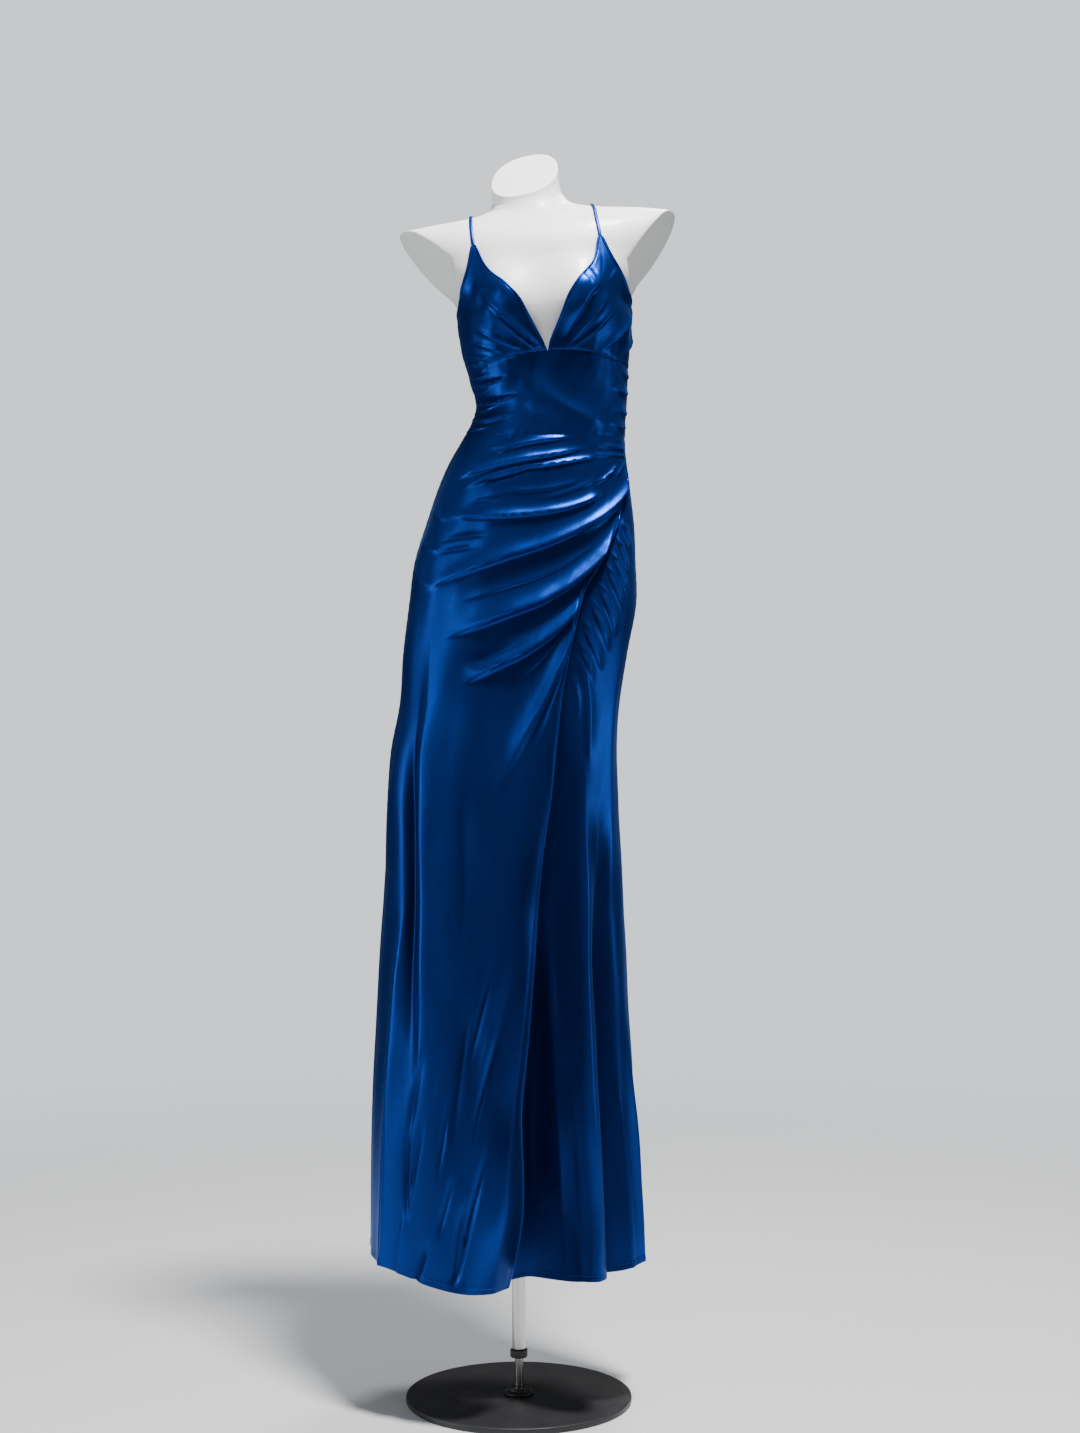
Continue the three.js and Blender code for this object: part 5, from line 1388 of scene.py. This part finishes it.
ROOM_GLOW = 0.11
ROOM_SEEN = 1.15
FLOOR_CLEAR_FROM = 0.7
FLOOR_CLEAR_TO = 3.4
FLOOR_RINGS = (0.02, 500, 1500, 4000, 9000, 20000)
FLOOR_SIDES = 96


def pale_floor():
    """A matt pale floor that thins out with distance, so that it meets the room with no horizon."""
    material, tree, shader = new_material("pale_floor")
    place = add(tree, "TexCoord", {})
    far = add(tree, "VectorMath", {0: place.outputs["Object"]}, operation="LENGTH")
    thin = add(tree, "MapRange", {"Value": far.outputs["Value"], "From Min": FLOOR_CLEAR_FROM,
                                  "From Max": FLOOR_CLEAR_TO, "To Min": 1.0, "To Max": 0.0},
               interpolation_type="SMOOTHERSTEP")
    rub = worn(tree, 40.0).outputs["Rub"]
    feed(tree, shader, {
        "Alpha": thin.outputs["Result"], "Roughness": span(tree, rub, 0.6, 0.7),
        "Base Color": (0.68, 0.69, 0.71, 1), "Specular IOR Level": 0.2})
    return material


def point_at(thing, target):
    direction = np.array(target) - np.array(thing.location)
    thing.rotation_euler = (math.atan2(math.hypot(direction[0], direction[1]), -direction[2]), 0,
                            math.atan2(direction[1], direction[0]) - math.pi / 2)


def studio():
    camera = bpy.data.objects.new("camera", bpy.data.cameras.new("camera"))
    camera.data.lens = 56.62
    camera.data.sensor_width = 36
    camera.location = (0.030, -3.200, 0.970)
    camera.rotation_euler = (math.pi / 2, 0, 0)
    bpy.context.scene.collection.objects.link(camera)
    bpy.context.scene.camera = camera

    turn, reach = np.meshgrid(np.linspace(0, 2 * np.pi, FLOOR_SIDES, endpoint=False), FLOOR_RINGS)
    points = np.stack([reach * np.cos(turn), reach * np.sin(turn), np.zeros_like(turn)], axis=-1)
    faces = grid_faces(len(FLOOR_RINGS), FLOOR_SIDES, True)[:, ::-1]
    floor = write_mesh("studio_floor", points.reshape(-1, 3), faces)
    floor.data.materials.append(pale_floor())

    for name, place, target, size, power, colour in (
        ("key_light", (0.55, -0.92, 4.05), (0.0, 0.0, 1.1), (0.5, 0.5), 290, (1.0, 0.99, 0.97)),
        ("bodice_light", (-2.1, -2.0, 1.95), (0.0, 0.0, 1.4), (0.35, 0.6), 9, (0.95, 0.98, 1.0)),
        ("left_light", (-2.85, -0.95, 0.95), (0.0, 0.0, 0.7), (0.4, 1.7), 28, (0.95, 0.98, 1.0)),
        ("right_light", (2.7, -0.6, 0.85), (0.0, 0.0, 0.7), (0.4, 1.1), 11, (0.95, 0.98, 1.0)),
        ("back_light", (0.9, 2.0, 3.6), (0.0, 0.0, 1.0), (1.0, 1.0), 70, (1.0, 1.0, 1.0)),
    ):
        lamp = bpy.data.objects.new(name, bpy.data.lights.new(name, "AREA"))
        lamp.data.shape = "ELLIPSE"
        lamp.data.size, lamp.data.size_y = size
        lamp.data.energy = power
        lamp.data.color = colour
        lamp.location = place
        point_at(lamp, target)
        bpy.context.scene.collection.objects.link(lamp)

    world = bpy.data.worlds.new("pale_studio")
    world.use_nodes = True
    tree = world.node_tree
    seen = add(tree, "LightPath", {}).outputs["Is Camera Ray"]
    level = span(tree, seen, ROOM_GLOW, ROOM_SEEN, 0.0, 1.0)
    feed(tree, tree.nodes["Background"], {"Strength": level, "Color": (0.93, 0.96, 1.0, 1)})
    bpy.context.scene.world = world


# Making

def part_of(line, normals, low=0.0, high=math.inf):
    """What lies between two heights of a line and of its outward directions."""
    keep = (line[:, 2] > low) & (line[:, 2] < high)
    return line[keep], normals[keep]


def edge_line(grid, low=0.0, high=math.inf):
    """A grid's first row between two heights, with its outward directions."""
    return part_of(grid[0], grid_normals(grid)[0], low, high)


def first_row_is(panel, edge):
    """A panel's outer grid turned so that its first row is the low, high, near or far edge."""
    outer = outer_grids[panel]
    if edge == "low":
        return outer
    if edge == "high":
        return outer[::-1, ::-1]
    across = outer.swapaxes(0, 1)
    return across[:, ::-1] if edge == "near" else across[::-1]


def trims():
    """Rolled edges of the wrap, the necklines and the armholes."""
    wrap = edge_line(first_row_is("skirt_front_wrap_satin", "far"), high=EDGE_ROLL["wrap_top"])
    made = [edge_roll("wrap_edge_roll", *wrap, EDGE_ROLL["wrap_radius"])]
    armhole_low = ARMHOLE_BASE + ARMHOLE_TURN["roll_above"]
    for side, inner, outer in (("left", "far", "near"), ("right", "near", "far")):
        neckline = edge_line(first_row_is(f"cup_{side}_satin", inner), EDGE_ROLL["neckline_low"])
        armhole = edge_line(first_row_is(f"cup_{side}_satin", outer), armhole_low)
        back = edge_line(first_row_is(f"bodice_back_{side}_satin", "high"))
        for edge, line in (("neckline", neckline), ("armhole", armhole), ("back_neckline", back)):
            made.append(edge_roll(f"{edge}_{side}_roll", *line, EDGE_ROLL["radius"]))
    return made


def stitch_rows():
    """Lines of stitching: along the hems, beside the wrap's free edge and round the necklines."""
    skirts = [name for name in outer_grids if name.startswith("skirt")]
    rows = [line_inside(first_row_is(name, "low"), STITCH["hem"]) for name in skirts]
    wrap = line_inside(first_row_is("skirt_front_wrap_satin", "far"), STITCH["edge"])
    rows.append(part_of(*wrap, high=EDGE_ROLL["wrap_top"]))
    for side, inner in (("left", "far"), ("right", "near")):
        neckline = line_inside(first_row_is(f"cup_{side}_satin", inner), STITCH["neckline"])
        rows.append(part_of(*neckline, EDGE_ROLL["neckline_low"]))
        rows.append(line_inside(first_row_is(f"bodice_back_{side}_satin", "high"), STITCH["neckline"]))
    return rows


studio()

shell = form_shell()
finish(shell, FORM_WHITE, "form_shell", "dressed_form", "dress_form")

panels = {
    "cup_left": (cup(-1), "gathered"),
    "cup_right": (cup(1), "gathered"),
    "bodice_front": (bodice_front(), "stretched"),
    "bodice_back_left": (bodice_back(-1), "stretched"),
    "bodice_back_right": (bodice_back(1), "stretched"),
    "skirt_front_wrap": (skirt_front_wrap(), "gathered"),
    "skirt_front_under": (skirt_front_under(), "gathered"),
    "skirt_back_left": (skirt_back(-1), "draped"),
    "skirt_back_right": (skirt_back(1), "draped"),
}
for node, (panel, held) in panels.items():
    finish(panel, GOWN_SATIN, "satin", "dressed_form", node)

for trim in trims():
    finish(trim, ROULEAU_SATIN, "satin", "dressed_form")
finish(stitches("edge_stitches", stitch_rows()), THREAD, "satin", "dressed_form")

for side, node in ((-1, "strap_left"), (1, "strap_right")):
    finish(strap(side), ROULEAU_SATIN, "satin", "dressed_form", node)

STAND_FINISHES = {
    "form_socket": (STEEL, "steel", "dressed_form"),
    "upper_tube": (STEEL, "steel", "dressed_form"),
    "collar": (POWDER_BLACK, "black_metal", "height_collar"),
    "lower_rod": (STEEL, "steel", "stand"),
    "base_hub": (POWDER_BLACK, "black_metal", "stand"),
    "base_plate": (POWDER_BLACK, "black_metal", "stand"),
}
for node, piece in stand_pieces().items():
    material, slot, body = STAND_FINISHES[node]
    finish(piece, material, slot, body, node)

zip_slider, zip_pull = zip_pieces()
finish(zip_slider, ZIP_NICKEL, "zip_metal", "dressed_form", "zip_slider")
finish(zip_pull, ZIP_NICKEL, "zip_metal", "zip_tab", "zip_pull")
